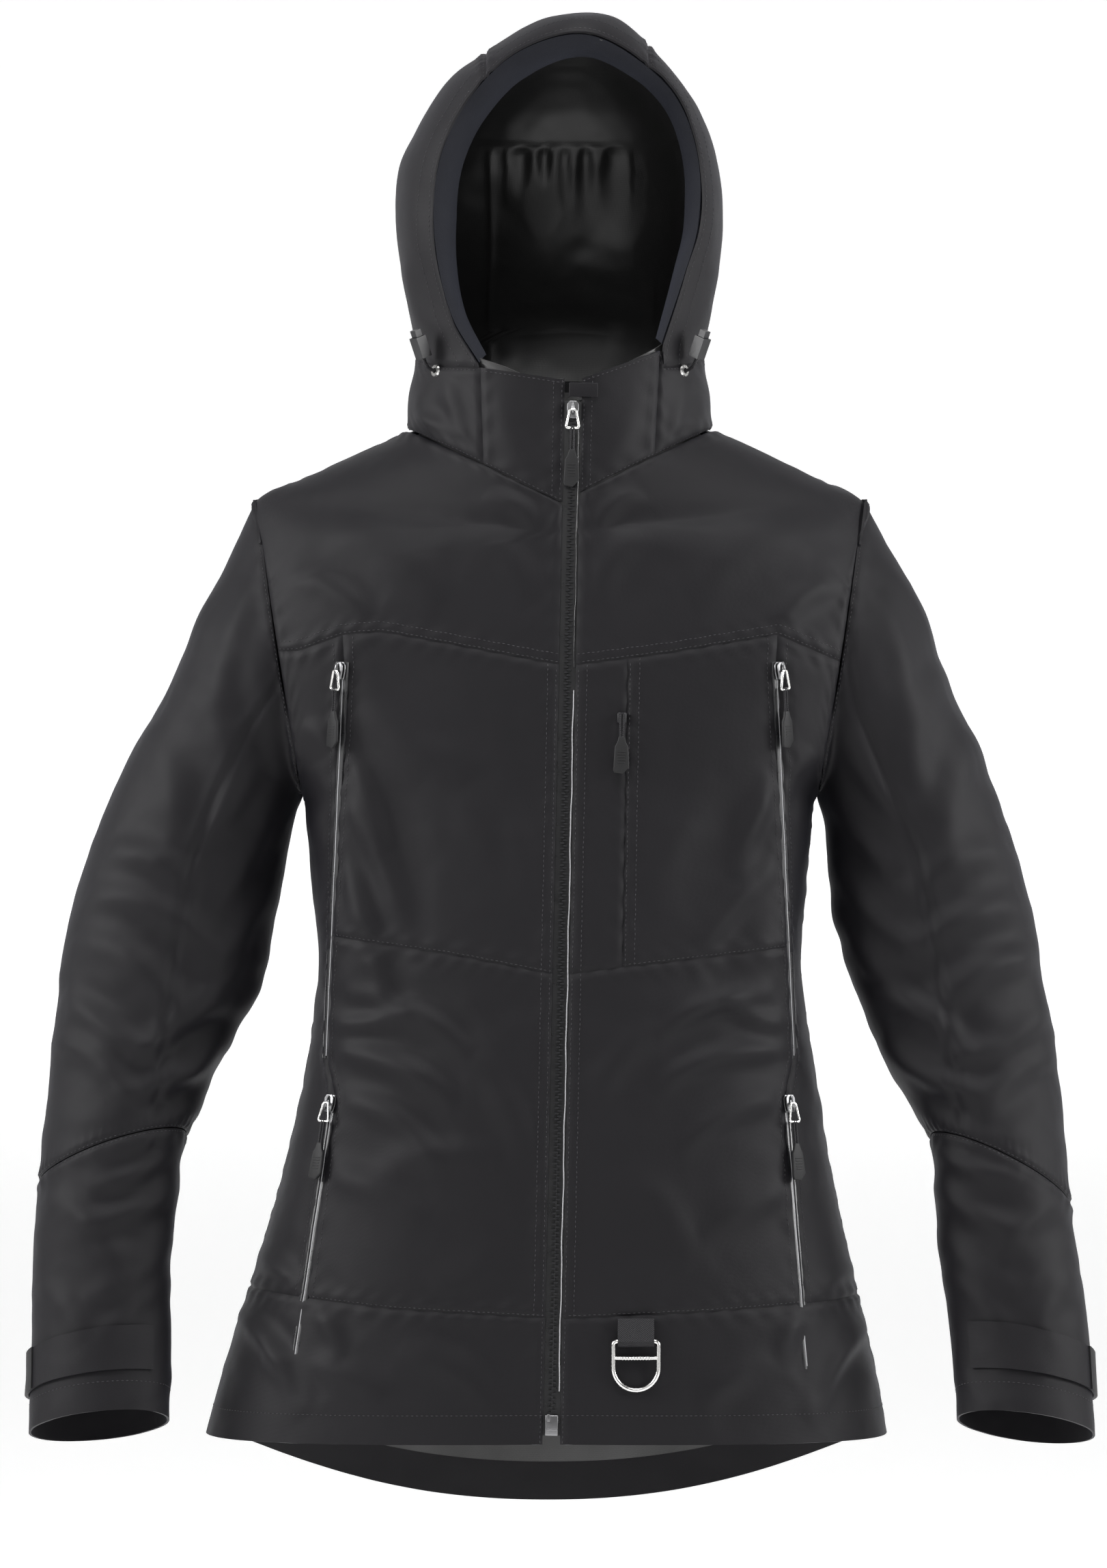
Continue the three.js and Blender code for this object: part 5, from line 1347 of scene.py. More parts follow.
# Strokes on the front of each sleeve, drawn in front view: start, end, bow, width, height.
sleeve_strokes = {
    "right": [
        ((-232, 690), (-252, 600), -6, 10, 3.4), ((-214, 660), (-236, 560), -8, 9, 2.8),
        ((-262, 590), (-230, 500), 12, 13, 3.6), ((-210, 540), (-262, 470), 8, 9, 3.2),
        ((-200, 520), (-246, 420), 8, 9, 3.0), ((-286, 560), (-270, 460), 8, 12, 3.0),
        ((-316, 470), (-250, 430), 10, 12, 4.6), ((-330, 440), (-230, 392), 12, 11, 4.2),
        ((-205, 450), (-250, 380), 6, 9, 3.4), ((-338, 410), (-262, 352), 12, 12, 5.0),
        ((-215, 400), (-290, 345), 8, 9, 3.8), ((-345, 372), (-270, 330), -8, 9, 4.4),
        ((-222, 365), (-300, 322), -6, 8, 4.2), ((-238, 330), (-310, 300), 6, 8, 4.4),
        ((-352, 340), (-290, 282), 10, 10, 3.6), ((-240, 300), (-320, 262), 7, 8, 4.0),
        ((-262, 268), (-330, 236), 6, 7, 3.6), ((-266, 236), (-336, 214), 7, 8, 3.2),
        ((-358, 230), (-300, 180), 8, 11, 2.6), ((-268, 200), (-330, 160), 6, 9, 2.6),
        ((-268, 172), (-316, 130), -5, 8, 2.2), ((-360, 170), (-326, 132), 5, 9, 1.8),
        ((-270, 112), (-300, 84), 4, 8, 1.6)],
    "left": [
        ((238, 684), (252, 596), 6, 10, 3.2), ((222, 650), (240, 556), 7, 9, 3.0),
        ((196, 560), (240, 492), -6, 9, 3.4), ((262, 596), (246, 498), -8, 12, 3.4),
        ((188, 520), (236, 452), -6, 8, 3.4), ((292, 556), (268, 452), -8, 12, 3.0),
        ((314, 470), (240, 432), -10, 12, 4.4), ((192, 468), (246, 402), -7, 8, 3.6),
        ((330, 432), (232, 388), -12, 11, 4.4), ((338, 398), (256, 350), -12, 11, 5.0),
        ((203, 410), (272, 352), -7, 9, 4.0), ((342, 362), (270, 326), 8, 9, 4.4),
        ((212, 372), (288, 326), 7, 8, 4.2), ((222, 338), (296, 300), -6, 8, 4.4),
        ((350, 330), (286, 284), -9, 10, 3.8), ((236, 300), (306, 262), -6, 8, 4.0),
        ((252, 268), (320, 244), -6, 7, 3.4), ((258, 240), (324, 206), -6, 8, 3.2),
        ((352, 226), (300, 186), -8, 10, 2.6), ((262, 206), (318, 164), -6, 9, 2.6),
        ((266, 176), (310, 132), 5, 8, 2.2), ((360, 176), (330, 140), -5, 9, 1.8),
        ((276, 110), (302, 84), -4, 8, 1.6)]}
sleeve_back_strokes = [
    ((212, 560), (300, 520), 10, 13, 4.0), ((205, 500), (310, 470), -10, 12, 4.4),
                       ((220, 440), (325, 410), 10, 11, 5.0),
    ((225, 390), (335, 368), -8, 10, 5.0), ((240, 345), (345, 330), 8, 10, 5.0),
                       ((250, 300), (345, 292), -8, 10, 4.4),
    ((262, 240), (350, 226), 8, 12, 3.0), ((266, 180), (350, 150), 8, 13, 2.4),
                       ((240, 650), (250, 560), 8, 14, 3.0)]


def seam_places(side, z):
    line = sorted((p[1], p[0]) for p in sleeve_seams[side])
    zs, xs = zip(*line)
    return np.interp(z, zs, xs)


def sleeve_folds(side, sign):
    def height(points):
        rows = points.mean(1, keepdims=True)
        x, z = points[..., 0], points[..., 2]
        ahead = np.clip(0.5 - (points[..., 1] - rows[..., 1]) / 60, 0, 1)
        marks = folded(x, z, sleeve_strokes[side]) * ahead ** 0.5
        marks = marks + folded(sign * x, z, sleeve_back_strokes) * np.clip(1 - ahead, 0, 1) ** 0.5
        soft = 1.5 * rumple(points, 55, 6 + sign)
        elbow = np.exp(-(((z - 330) / 90) ** 2))
        fine = (0.5 + 1.5 * elbow) * rumple(points * (0.8, 0.8, 1.7), 28,
                                            9 + sign) + 0.25 * rumple(points, 10, 8)
        off = np.abs(x - seam_places(side, z)) * 0.93
        seam = (-1.3 * np.exp(-((off / 2.4) ** 2)) + 0.5 * np.exp(-(((off - 6) / 3) ** 2))) * (ahead > 0.55)
        return marks + soft + fine + seam * (z > 262)
    return height


# %% Making the sleeves
sleeve_grid = {}
for side, sign in SIDES:
    rings = sleeve_rings(side, sign)
    run = middle_run(rings)
    split = run[elbow_ring]
    body = f"{side}_sleeve"
    upper = swept(rings, np.linspace(0.0, split - 0.3, 118))
    lower = swept(rings, np.linspace(split + 0.5, run[-1], 70))
    out, _, centre = armhole(sign)
    out_line = {"start": tuple(to_frame(centre)), "end": tuple(to_frame(centre + 110 * out))}
    sewn_panel(f"upper_sleeve_{side}_cloth", upper, sleeve_folds(side, sign), body=("root", body, out_line),
               seams=("bottom", "top"), wrap=True, replaces=(f"upper_sleeve_{side}",),
               stitched=[("bottom", 2.2), ("top", 1.8)])
    sleeve_grid[side] = sewn_panel(
        f"forearm_sleeve_{side}_cloth", lower, sleeve_folds(side, sign), body=body, seams=("bottom",),
                                   wrap=True,
        replaces=(f"forearm_sleeve_{side}",), stitched=[("bottom", 1.8), ("top", 20.0)])

# %% [markdown]
# ## Linings
# The body's lining hangs just inside the shell, cut away at the armholes and the front. The hood is
# lined with satin: a gathered back, two upright seams and one across. A brushed facing turns in from
# the face's edge, where it would touch the skin.

# %% Body lining
lining_gap = 4.4


def lining_folds(points):
    return 1.2 * rumple(points, 40, 12) + 0.5 * rumple(points * (1, 1, 0.4), 14, 13)


def inside_body(points):
    """The way outward from the jacket's upright middle, with a share of up over the shoulders."""
    over = np.clip((points[..., 2] - 640) / 75, 0, 1)
    way = np.stack([points[..., 0] / 200, points[..., 1] / 100, 0.8 * over ** 2], -1)
    return way / np.maximum(np.linalg.norm(way, axis=-1, keepdims=True), 0.8)


def lining_panel(name, smooth, node, folds=lining_folds, gap=lining_gap, outward=inside_body, wall=0.9):
    """A lining behind the shell. Its gap is counted from the shell's outer side."""
    normals = outward(smooth)
    grid = smooth - normals * gap
    piece = cloth_piece(name, grid + normals * np.minimum(folds(grid), 1.2)[..., None], LINING, wall)
    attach(piece, "root")
    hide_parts(node)
    width, length, area = flat_size(smooth)
    print(name, grid.shape[:2], "flat", round(width, 3), "x", round(length, 3), "m")


facing_rise = 22.0
chest_up = float(torso.locate(chest_half, armpit)[1])
tape_edge = 11.0


def lining_x(z, sign):
    return float(zip_point(np.array(z))[0]) + sign * tape_edge


rise = np.linspace(facing_rise, chest_up - 2, 90)
front_edges = []
for side, sign in SIDES:
    heights = np.linspace(front_hem + facing_rise, armpit - 2, 90)
    front_edges.append(np.stack(torso.locate([lining_x(z, sign) for z in heights], heights), 1))
right_edge, left_edge = front_edges[0] + (2 * math.pi, 0), front_edges[1]


def around_body(start, end):
    angles = np.linspace(start[0], end[0], 200)
    return np.stack([angles, start[1] + (end[1] - start[1]) * np.linspace(0, 1, 200)], 1)


lining_panel("lining_skirt", patch(torso, around_body(left_edge[0], right_edge[0]),
                                   around_body(left_edge[-1], right_edge[-1]), left_edge, right_edge, 4.5),
             "body_lining")



def lining_hole_x(z, sign):
    return armhole_x(z, sign) - sign * 7


for side, sign in SIDES:
    inner = column(torso, lining_x, sign, armpit, neck_front)
    neck_angle = float(torso.side_seam(torso.up[-1], sign))
    neckline = np.stack([np.linspace(inner[-1][0], neck_angle, 60), np.full(60, torso.up[-1])], 1)
    hole = column(torso, lining_hole_x, sign, armpit + 1, shoulder - 12)
    top_up = np.linspace(hole[-1][1] + 14, torso.up[-1], 60)
    ridge = np.stack([torso.side_seam(top_up, sign), top_up], 1)
    ridge[0] = hole[-1]
    foot = np.stack([np.linspace(inner[0][0], hole[0][0], 60), np.linspace(inner[0][1], hole[0][1], 60)], 1)
    lining_panel(f"lining_front_{side}",
                 patch(torso, foot, ridge[::-1], np.concatenate([inner, neckline[1:]]), hole, 4.5),
                 "body_lining")

holes = []
for side, sign in SIDES[::-1]:
    heights = np.linspace(armpit + 2, shoulder - 6, 40)
    holes.append(back_line([(lining_hole_x(z, sign), z) for z in heights]))
ends = [holes[0][0], holes[1][0]]
foot = np.stack([np.linspace(ends[0][0], ends[1][0], 120), np.linspace(ends[0][1], ends[1][1], 120)], 1)
crest = []
for (side, sign), hole in zip(SIDES[::-1], holes):
    rise = np.linspace(hole[-1][1] + 8, torso.up[-1], 40)
    turn = 0 if sign > 0 else 2 * math.pi
    crest.append(np.concatenate([hole[-1:], np.stack([seam_start(rise, sign) + turn, rise], 1)]))
rim = np.concatenate([crest[0], back_row(torso.up[-1])[1:-1], crest[1][::-1]])
lining_panel("lining_back", patch(torso, foot, rim, holes[0], holes[1], 4.5), "body_lining")

# %% Hood lining
hood_lining_gap = 4.6
crown_seam = 972.0
lining_seams = (-50.0, 65.0)


def hood_lining_folds(points):
    x, z = points[..., 0], points[..., 2]
    behind = np.clip(points[..., 1] / 30, 0, 1)
    near_seam = np.exp(-(((crown_seam - 4 - z) / 26) ** 2)) * (z < crown_seam)
    gathers = 1.5 * np.sin(x / 3.1 + 2.2 * np.sin(x / 17.0)) * near_seam * (np.abs(x - 6) < 46)
    hang = 2.2 * np.sin(x / 13.0 + 0.8 * np.sin(z / 40.0)) * np.exp(-(((z - 900) / 60) ** 2))
    dips = sum(-1.8 * np.exp(-(((x - place) / 2.4) ** 2)) for place in lining_seams) * (z < crown_seam)
    dips = dips - 1.8 * np.exp(-(((z - crown_seam) / 2.4) ** 2))
    return -(gathers + hang + dips) * behind + 1.4 * rumple(points, 34, 14) + 0.5 * rumple(points, 13, 15)


def face_angle(height, sign):
    """Where the face's edge is on one side, as an angle, or the front of the row above the opening."""
    if height < collar_top:
        return float(hood.locate(lining_x(height, sign), height)[0])
    places = face[(face[:, 0] < 17) if sign < 0 else (face[:, 0] >= 17)]
    order = np.argsort(places[:, 1])
    if height > places[:, 1].max():
        return 0.0
    low_z = places[:, 1].min()
    if height < low_z:
        share = (height - collar_top) / (low_z - collar_top)
        x = lining_x(height, sign) + share * (places[order[0], 0] - lining_x(height, sign))
    else:
        x = np.interp(height, places[order, 1], places[order, 0])
    return float(hood.locate(x + sign * 4, height)[0])


levels = []
columns_round = 230
for up in np.linspace(0.5, hood.up[-1] - 0.2, 120):
    heights = [hood.point(np.array(0.3 * sign), np.array(up))[2] for _, sign in SIDES]
    for _ in range(6):
        ends = [face_angle(float(h), sign) for h, (_, sign) in zip(heights, SIDES)]
        heights = [hood.point(np.array(a), np.array(up))[2] for a in ends]
    angles = np.linspace(ends[1], ends[0] + 2 * math.pi, columns_round)
    levels.append(hood.point(angles, up))
smooth = np.array(levels)
lining_panel("hood_lining_cloth", smooth, "hood_lining", hood_lining_folds, hood_lining_gap,
             outward_normals)

# %% Brushed facing inside the face's edge
edge = hood.point(face_line[:, 0], face_line[:, 1])
middle_face = np.array((5.0, 0.0, hood_level(0.461)))
inward = (middle_face - edge) * (1, 0, 1)
inward /= np.linalg.norm(inward, axis=1, keepdims=True)
turn_in = np.interp(np.arange(len(edge)), np.array([0, 0.2, 0.45, 0.62, 0.8, 1.0]) * (len(edge) - 1),
                    [8, 15, 15, 9, 10, 6])[:, None]
rows = []
for t in np.linspace(0, 1, 12):
    dip = np.array((0, 1, 0)) * (3.0 + 26.0 * t ** 1.3)
    rows.append(edge + inward * (1.0 + turn_in * t + 2.0 * math.sin(math.pi * t)) + dip)
facing = np.array(rows)
facing = facing + np.array((0, 1, 0)) * (0.8 * rumple(facing, 26, 16))[..., None]
band_piece = cloth_piece("hood_facing", facing, BRUSHED, 1.4)
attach(band_piece, "root")

# %% [markdown]
# ## Zips
# Small fittings are modelled once, lying in their own frame: X across the zip, Y into the cloth, Z up.
# A copy is then put at each joint of the frame. The side zips are coated: two film-covered lips that
# meet at a slit, with a thin light grey bead beside it as a painted highlight. The main zip shows its
# teeth; the bead beside them is a painted highlight on its lower part and dark coated film above.

# %% Places of the zips
joints = {joint["name"]: joint for joint in frame["joints"]}


def zip_frame(slide, swing):
    """The matrix of a zip's own frame, in metres, at its pull's hinge."""
    up = -Vector(joints[slide]["axis"]).normalized()
    across = -Vector(joints[swing]["axis"])
    across = (across - up * across.dot(up)).normalized()
    if across.x < 0:
        across = -across
    into = up.cross(across)
    turn = Matrix((across, into, up)).transposed().to_4x4()
    turn.translation = Vector(joints[swing]["pos_m"])
    return turn


def put(piece, place, body, node=()):
    """Places a finished shape by a matrix, applies it, and gives it to its body."""
    piece.data.transform(place)
    piece.matrix_world = Matrix.Identity(4)
    piece.data.update()
    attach(piece, body)
    if node:
        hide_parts(*([node] if isinstance(node, str) else node))
    return piece


def only(piece):
    if bpy.context.mode != "OBJECT":
        bpy.ops.object.mode_set(mode="OBJECT")
    bpy.ops.object.select_all(action="DESELECT")
    piece.select_set(True)
    bpy.context.view_layer.objects.active = piece


def faced_outward(piece):
    """Turns a mesh's normals outward in edit mode."""
    only(piece)
    bpy.ops.object.mode_set(mode="EDIT")
    bpy.ops.mesh.select_all(action="SELECT")
    bpy.ops.mesh.normals_make_consistent(inside=False)
    bpy.ops.object.mode_set(mode="OBJECT")


def applied(piece, kind, **settings):
    only(piece)
    modifier = piece.modifiers.new(kind.lower(), kind)
    for key, value in settings.items():
        setattr(modifier, key, value)
    bpy.ops.object.modifier_apply(modifier=modifier.name)


def smoothed(piece, angle=35):
    only(piece)
    bpy.ops.object.shade_smooth_by_angle(angle=math.radians(angle))
    return piece


def block(name, size, place, material, bevel=0.0, segments=3):
    """A box made by hand: placed, scaled, applied, then its edges rounded. Sizes are millimetres."""
    bpy.ops.object.select_all(action="DESELECT")
    bpy.ops.mesh.primitive_cube_add(size=1, location=Vector(place) / 1000)
    piece = bpy.context.object
    piece.name = name
    piece.scale = Vector(size) / 1000
    bpy.ops.object.transform_apply(location=True, rotation=True, scale=True)
    if bevel:
        applied(piece, "BEVEL", width=bevel / 1000, segments=segments, limit_method="ANGLE")
    piece.data.materials.append(material)
    return smoothed(piece)


def rod(name, points, radius, material, closed=False, sides=10):
    """A round wire or cord along a line of points, in millimetres."""
    points = np.asarray(points, float)
    ahead = np.roll(points, -1, 0) - np.roll(points, 1, 0) if closed else np.gradient(points, axis=0)
    ahead /= np.maximum(np.linalg.norm(ahead, axis=1, keepdims=True), 1e-9)
    side = np.cross(ahead[0], (0.13, 0.9, 0.21))
    rings = []
    for point, way in zip(points, ahead):
        side = side - way * side.dot(way)
        side /= np.linalg.norm(side)
        other = np.cross(way, side)
        turn = np.linspace(0, 2 * math.pi, sides, endpoint=False)[:, None]
        rings.append(point + radius * (np.cos(turn) * side + np.sin(turn) * other))
    rings = np.array(rings)
    count = len(points)
    index = np.arange(count * sides).reshape(count, sides)
    here, after = (index, np.roll(index, -1, 0)) if closed else (index[:-1], index[1:])
    faces = np.stack([here, np.roll(here, -1, 1), np.roll(after, -1, 1), after], -1)
    faces = faces.reshape(-1, 4).tolist()
    if not closed:
        faces += [index[0][::-1].tolist(), index[-1].tolist()]
    made = finish_mesh(name, rings.reshape(-1, 3) / 1000, faces, None, material)
    faced_outward(made)
    return smoothed(made, 50)


def plate(name, outline_points, thickness, material, bevel=0.5):
    """A flat shape in the X-Z plane, thickened along Y, with rounded rims."""
    corners = np.asarray(outline_points, float)
    count = len(corners)
    points = np.concatenate([np.insert(corners, 1, -thickness / 2, 1),
                             np.insert(corners, 1, thickness / 2, 1)])
    walls = [[k, (k + 1) % count, (k + 1) % count + count, k + count] for k in range(count)]
    faces = [list(range(count))[::-1], list(range(count, 2 * count)), *walls]
    made = finish_mesh(name, points / 1000, faces, None, material)
    faced_outward(made)
    if bevel:
        applied(made, "BEVEL", width=bevel / 1000, segments=3, limit_method="ANGLE",
                angle_limit=math.radians(35))
    return smoothed(made)


def copied(source, name):
    piece = source.copy()
    piece.data = source.data.copy()
    piece.name = name
    bpy.context.scene.collection.objects.link(piece)
    return piece


def joined(name, *parts):
    bpy.ops.object.select_all(action="DESELECT")
    for part in parts:
        part.select_set(True)
    bpy.context.view_layer.objects.active = parts[0]
    bpy.ops.object.join()
    made = bpy.context.object
    made.name = name
    return made


# %% Pulls
bail_width, bail_top, bail_length, wire = 11.0, 6.05, 14.0, 1.8


def rounded_loop(corners, radius, steps=6):
    """A closed line through corners, each rounded by an arc-like curve."""
    corners = np.asarray(corners, float)
    line = []
    for k, corner in enumerate(corners):
        before, after = corners[k - 1], corners[(k + 1) % len(corners)]
        a = corner + (before - corner) / np.linalg.norm(before - corner) * radius
        b = corner + (after - corner) / np.linalg.norm(after - corner) * radius
        for t in np.linspace(0, 1, steps):
            line.append((1 - t) ** 2 * a + 2 * t * (1 - t) * corner + t * t * b)
    return np.array(line)


def wire_bail(name):
    half, top = bail_width / 2 - wire / 2, bail_top / 2 - wire / 2
    corners = [(-top, 0, 0), (top, 0, 0), (half, 0, wire / 2 - bail_length),
               (-half, 0, wire / 2 - bail_length)]
    return rod(name, rounded_loop(corners, 1.8), wire / 2 * 0.98, NICKEL, closed=True, sides=12)


def tab_outline(top):
    low = top - 18.0
    end = low - 22.0
    return [(-2.0, low + 4), (-3.0, low), (-4.62, low - 3), (-5.5, end + 3), (-4.9, end + 1), (1.1, end),
            (5.5, end + 5),
            (4.62, low - 3), (3.0, low), (2.0, low + 4)]


def cord_and_tab(name, top):
    """The doubled cord through the bail, and its moulded tab with a ribbed face."""
    cord_line = [(-1.05, 0, top - 16), (-1.05, 0, top - 2), (-1.0, -0.1, top + 1.0),
                 (-0.5, -0.3, top + 2.0),
                 (0.5, -0.3, top + 2.0), (1.0, -0.1, top + 1.0), (1.05, 0, top - 2), (1.05, 0, top - 16)]
    cord = rod(name + "_cord", resampled(np.array(cord_line, float), 24), 0.95, WEBBING, sides=8)
    tab = plate(name + "_tab", tab_outline(top), 2.4, RUBBER, 0.6)
    ribs = [block(f"{name}_rib{k}", (6.2 - 0.3 * k, 0.5, 0.7), (0, -1.25, top - 24.5 - 1.9 * k), RUBBER,
                  0.2, 2)
            for k in range(5)]
    return joined(name, tab, cord, *ribs)


side_pull = joined("side_pull_pattern", cord_and_tab("pull_low", -bail_length), wire_bail("pull_bail"))
places = {}
for side, sign in SIDES:
    for kind in ("vent", "pocket"):
        key = f"{side}_{kind}"
        places[key] = zip_frame(f"{key}_slide", f"{key}_pull_swing")
        put(copied(side_pull, f"{kind}_pull_{side}"), places[key], f"{key}_pull",
            f"{kind}_zip_{side}_pull")
bpy.data.objects.remove(side_pull)
main_place = zip_frame("main_zip_slide", "main_pull_swing")
put(wire_bail("main_bail"), main_place, "main_pull", "main_zip_bail")
put(cord_and_tab("main_tab", -bail_length), main_place, "main_pull", "main_zip_tab")

# %% Sliders
slider_depth = 4.0


def slider(name, back):
    """A slider's body: two winged shields, a neck between them, and a crown for the bail."""
    wings = [(-2.9, 0), (-4.0, 5.4), (-4.0, 9.6), (-2.4, 12.0), (2.4, 12.0), (4.0, 9.6), (4.0, 5.4),
             (2.9, 0)]
    shield = plate(name, [(x, z - 6.0) for x, z in wings], 1.2, GUNMETAL, 0.4)
    shield.data.transform(Matrix.Translation((0, (back - slider_depth + 0.9) / 1000, 0)))
    under = plate(name + "_under", [(x, z - 6.0) for x, z in wings], 1.0, GUNMETAL, 0.3)
    under.data.transform(Matrix.Translation((0, (back - 0.5) / 1000, 0)))
    neck = block(name + "_neck", (2.6, 2.6, 5.0), (0, back - 2.0, 3.0), GUNMETAL, 0.4)
    crown_line = [(0, back - 3.2, 4.6), (0, back - 4.8, 4.0), (0, back - 5.6, 1.6), (0, back - 5.4, -1.6),
                  (0, back - 3.2, -3.0)]
    crown = rod(name + "_crown", resampled(np.array(crown_line, float), 18), 1.0, GUNMETAL, sides=10)
    return joined(name, shield, under, neck, crown)


pull_gap = 1.8
for side, sign in SIDES:
    for kind in ("vent", "pocket"):
        key = f"{side}_{kind}"
        put(slider(f"{kind}_slider_{side}", pull_gap + slider_depth), places[key], f"{key}_slider",
            f"{kind}_zip_{side}_slider")
put(slider("main_slider_body", pull_gap + slider_depth), main_place, "main_slider", "main_zip_slider")

# %% Coated strips of the side zips, with a bead of painted highlight beside each slit
def local_span(node, place):
    """The lowest and highest corner of a CAD node in a fitting's own frame, in millimetres."""
    inside = np.array(place.inverted())
    points = np.array([v.co for v in frame["nodes"][node].data.vertices])
    points = (points @ inside[:3, :3].T + inside[:3, 3]) * 1000
    return points.min(0), points.max(0)


def strip(name, profile, low, high, material, step=4.0, wave=0.12):
    """A closed profile in X and Y, run up Z with a slight hand-sewn wave."""
    profile = np.asarray(profile, float)
    heights = np.linspace(low, high, int((high - low) / step) + 2)
    sway = wave * np.sin(heights / 11.0) + 0.5 * wave * np.sin(heights / 4.3)
    rows = np.stack([np.column_stack([profile[:, 0] + s, profile[:, 1], np.full(len(profile), z)])
                     for s, z in zip(sway, heights)])
    count = len(profile)
    index = np.arange(rows.shape[0] * count).reshape(-1, count)
    faces = np.stack([index[:-1], np.roll(index[:-1], -1, 1), np.roll(index[1:], -1, 1), index[1:]], -1)
    faces = faces.reshape(-1, 4).tolist() + [index[0][::-1].tolist(), index[-1].tolist()]
    made = finish_mesh(name, rows.reshape(-1, 3) / 1000, faces, None, material)
    faced_outward(made)
    return smoothed(made, 60)


def oval(x, y, half_x, half_y, corners):
    return [(x + half_x * math.cos(t), y + half_y * math.sin(t))
            for t in np.linspace(0, 2 * math.pi, corners + 1)[:-1]]


def lip(sign, face_y, reach_x, thick):
    """Half of a coated zip: a film with a rolled edge at the slit."""
    points = [(0.15, face_y + thick), (0.15, face_y + 0.35), (0.45, face_y - 0.1), (1.1, face_y - 0.25),
              (2.2, face_y - 0.15), (reach_x - 0.8, face_y + 0.1), (reach_x, face_y + 0.5),
              (reach_x, face_y + thick)]
    return [(sign * x, y) for x, y in points]


# A light grey finish that stands for the glint of light on a coated film's edge: a painted highlight.
PAINTED_HIGHLIGHT = moulded_finish("painted_highlight_bead", (0.30, 0.30, 0.31), 0.22, 0.05)
for side, sign in SIDES:
    for kind in ("vent", "pocket"):
        place = places[f"{side}_{kind}"]
        low, high = local_span(f"{kind}_zip_{side}", place)
        lips = [strip(f"{kind}_lip", lip(turn, low[1] + 0.3, 4.0, 2.0), low[2], high[2], COATED)
                for turn in (-1, 1)]
        put(joined(f"{kind}_zip_lips_{side}", *lips), place, "root", f"{kind}_zip_{side}")
        # Beside each slit runs a thin light grey bead, a painted highlight along the coated lip.
        painted_highlight_x = -sign * 0.95
        bead = oval(painted_highlight_x, low[1] + 0.02, 0.32, 0.22, 6)
        put(strip(f"{kind}_zip_edge_{side}", bead, low[2] + 2, high[2] - 8, PAINTED_HIGHLIGHT), place, "root")

# %% Main zip: tapes, teeth, an edge bead that is partly painted highlight, and retainer
zip_low, zip_high = local_span("main_zip_coil", main_place)
tape_low, tape_high = local_span("main_zip_tape_left", main_place)
for side, sign in SIDES:
    tape = [(sign * x, y) for x,
            y in ((0.25, tape_low[1]), (9.4, tape_low[1]), (9.4, tape_high[1]), (0.25, tape_high[1]))]
    put(strip(f"main_tape_{side}", tape, tape_low[2], tape_high[2], COATED, wave=0.03), main_place, "root",
        f"main_zip_tape_{side}")
tooth_pitch = 1.9
count = int((zip_high[2] - zip_low[2]) / (2 * tooth_pitch))
rows = []
for side, sign in SIDES:
    tooth = block(f"teeth_{side}", (2.9, 1.7, 1.25),
                  (sign * 1.0, zip_low[1] + 1.0, zip_low[2] + 1 + (0 if sign < 0 else tooth_pitch)),
                  PLASTIC)
    applied(tooth, "ARRAY", count=count, use_relative_offset=False, use_constant_offset=True,
            constant_offset_displace=(0, 0, 2 * tooth_pitch / 1000))
    rows.append(tooth)
put(joined("main_teeth", *rows), main_place, "root", "main_zip_coil")
# Below seen_from the bead beside the teeth is light grey, a painted highlight; above it the bead is dark
# coated film.
seen_from = zip_high[2] - 200.0
side_x = 4.6
for low_z, high_z, material in ((zip_low[2], seen_from, PAINTED_HIGHLIGHT), (seen_from, zip_high[2] - 12, COATED)):
    bead = oval(side_x, zip_low[1] + 1.0, 0.45, 0.45, 8)
    edge = strip(f"main_edge_{material.name}", bead, low_z + 16, high_z, material, wave=0.25)
    put(edge, main_place, "root")
box_low, box_high = local_span("main_zip_retainer", main_place)
centre_box, size_box = (box_low + box_high) / 2, box_high - box_low
retainer = block("retainer_box", size_box - 0.1, centre_box, GUNMETAL, 0.7)
pin = block("retainer_pin", (2.0, 1.2, 5.0), centre_box + (-2.2, -size_box[1] / 2, 5.0), GUNMETAL, 0.3)
rib = block("retainer_rib", (7.4, 0.7, 1.0), centre_box + (0, -size_box[1] / 2, -3.0), GUNMETAL, 0.25)
put(joined("zip_retainer", retainer, pin, rib), main_place, "root", "main_zip_retainer")
flap_low, flap_high = local_span("zip_garage", main_place)
flap = block("garage_flap", flap_high - flap_low - 0.1, (flap_low + flap_high) / 2, SHELL, 0.6)
put(flap, main_place, "root", "zip_garage")

# %% Chest pocket pull
chest_place = zip_frame("chest_zip_slide", "chest_pull_swing")
put(cord_and_tab("chest_tab", 0.0), chest_place, "chest_pull", "chest_zip_pull")
low, high = local_span("chest_zip_slider", chest_place)
chest_body = block("chest_slider_body", (high - low) * (0.9, 0.72, 0.82),
                   (low + high) / 2 + (0, 0.4, 0.6), PLASTIC, 1.0)
put(chest_body, chest_place, "chest_slider", "chest_zip_slider")

# %% [markdown]
# ## Lift-pass ring
# The ring is a bent wire: a straight bar through the webbing, two legs and a round bow, with a cross
# bar that keeps a clip in the bow.

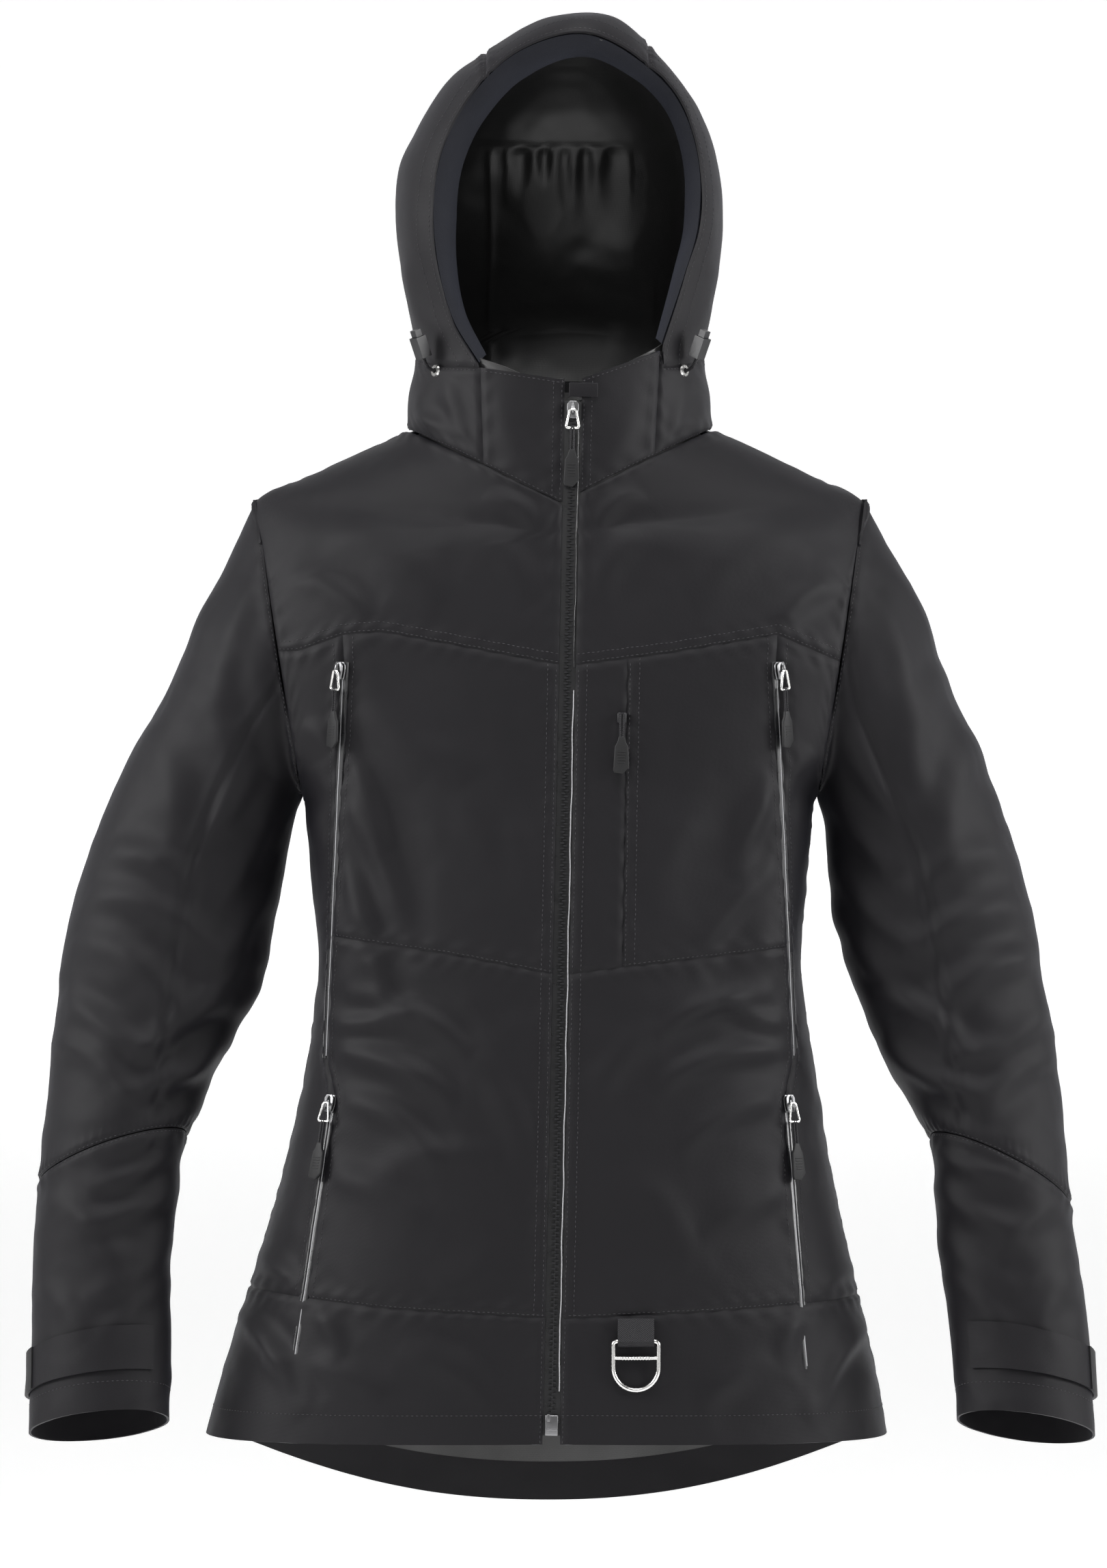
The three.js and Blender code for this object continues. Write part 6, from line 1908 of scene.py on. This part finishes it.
# %% Ring
ring_place = Matrix.Translation(Vector(joints["pass_ring_swing"]["pos_m"]))
ring_half, ring_wire, bow_height = 15.5, 1.5, -18.0
bow = [(ring_half * math.cos(t), 0, bow_height + ring_half * math.sin(t))
       for t in np.linspace(0, -math.pi, 26)]
legs = [(-ring_half, 0, bow_height), (-ring_half, 0, 0), (ring_half, 0, 0), (ring_half, 0, bow_height)]
shoulder_line = rounded_loop(legs, 3.0)
top_line = [tuple(p) for p in shoulder_line if p[2] > bow_height + 4]
cross_bar = -11.5
ring_line = resampled(np.array([*top_line, *bow, top_line[0]]), 110)[:-1]
ring = rod("ring_bow", ring_line, ring_wire, NICKEL, closed=True, sides=14)
bar = rod("ring_bar", [(x, 0, cross_bar) for x in np.linspace(-15.2, 15.2, 12)], 1.2, NICKEL, sides=12)
knurls = [block(f"knurl{k}", (0.7, 2.7, 2.5), (-9.0 + 2.0 * k, 0, cross_bar), NICKEL, 0.25,
                2) for k in range(10)]
put(joined("pass_ring_wire", ring, bar, *knurls), ring_place, "pass_ring", "lift_pass_ring")

# %% Cuff tabs
# Heights above the cuff's edge and places round the cuff, counted in the sleeve grid's columns.
tab_high, tab_low, tab_lift, tab_wall = 58, 26, 2.4, 1.5
patch_high, patch_low, patch_lift, patch_wall = 57, 28, 3.6, 1.3
tab_columns = np.arange(92, 159) % around_sleeve
patch_columns = np.arange(140, 158) % around_sleeve
for side, sign in SIDES:
    grid = sleeve_grid[side]
    facing = outward_normals(grid, True)
    step = np.linalg.norm(np.diff(grid[:, 0], axis=0), axis=1).mean()
    rows = slice(grid.shape[0] - int(tab_high / step), grid.shape[0] - int(tab_low / step))
    base = grid[rows][:, tab_columns] + facing[rows][:, tab_columns] * tab_lift
    tab = cloth_piece(f"cuff_strap_{side}", base, SHELL, tab_wall)
    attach(tab, f"{side}_cuff_tab")
    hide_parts(f"cuff_tab_{side}")
    rows = slice(grid.shape[0] - int(patch_high / step), grid.shape[0] - int(patch_low / step))
    plateau = grid[rows][:, patch_columns] + facing[rows][:, patch_columns] * patch_lift
    badge = cloth_piece(f"cuff_patch_{side}", plateau, RUBBER, patch_wall)
    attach(badge, f"{side}_cuff_tab")

# %% Finishes on the pieces that come from the frame
kept_finishes = {"ring_webbing": WEBBING, "eyelet": NICKEL, "hood_cord": WEBBING, "cord_lock": PLASTIC,
                 "hanger_loop": WEBBING}
for name, node in frame["nodes"].items():
    for start, material in kept_finishes.items():
        if name.startswith(start):
            node.data.materials.clear()
            node.data.materials.append(material)

# %% Topstitching
stitch_faces = np.array([(0, 2, 1), (0, 3, 2), (0, 4, 3), (0, 1, 4), (5, 1, 2), (5, 2, 3), (5, 3, 4),
                         (5, 4, 1)])
for key, (body, groups) in stitches.items():
    corners = np.concatenate(groups)
    starts = np.arange(0, len(corners), 6)[:, None, None]
    faces = (stitch_faces[None] + starts).reshape(-1, 3)
    threads = finish_mesh(f"topstitch_{key}", to_frame(corners), faces, None, THREAD)
    carry(threads, body)
    print(key, len(starts), "stitches")
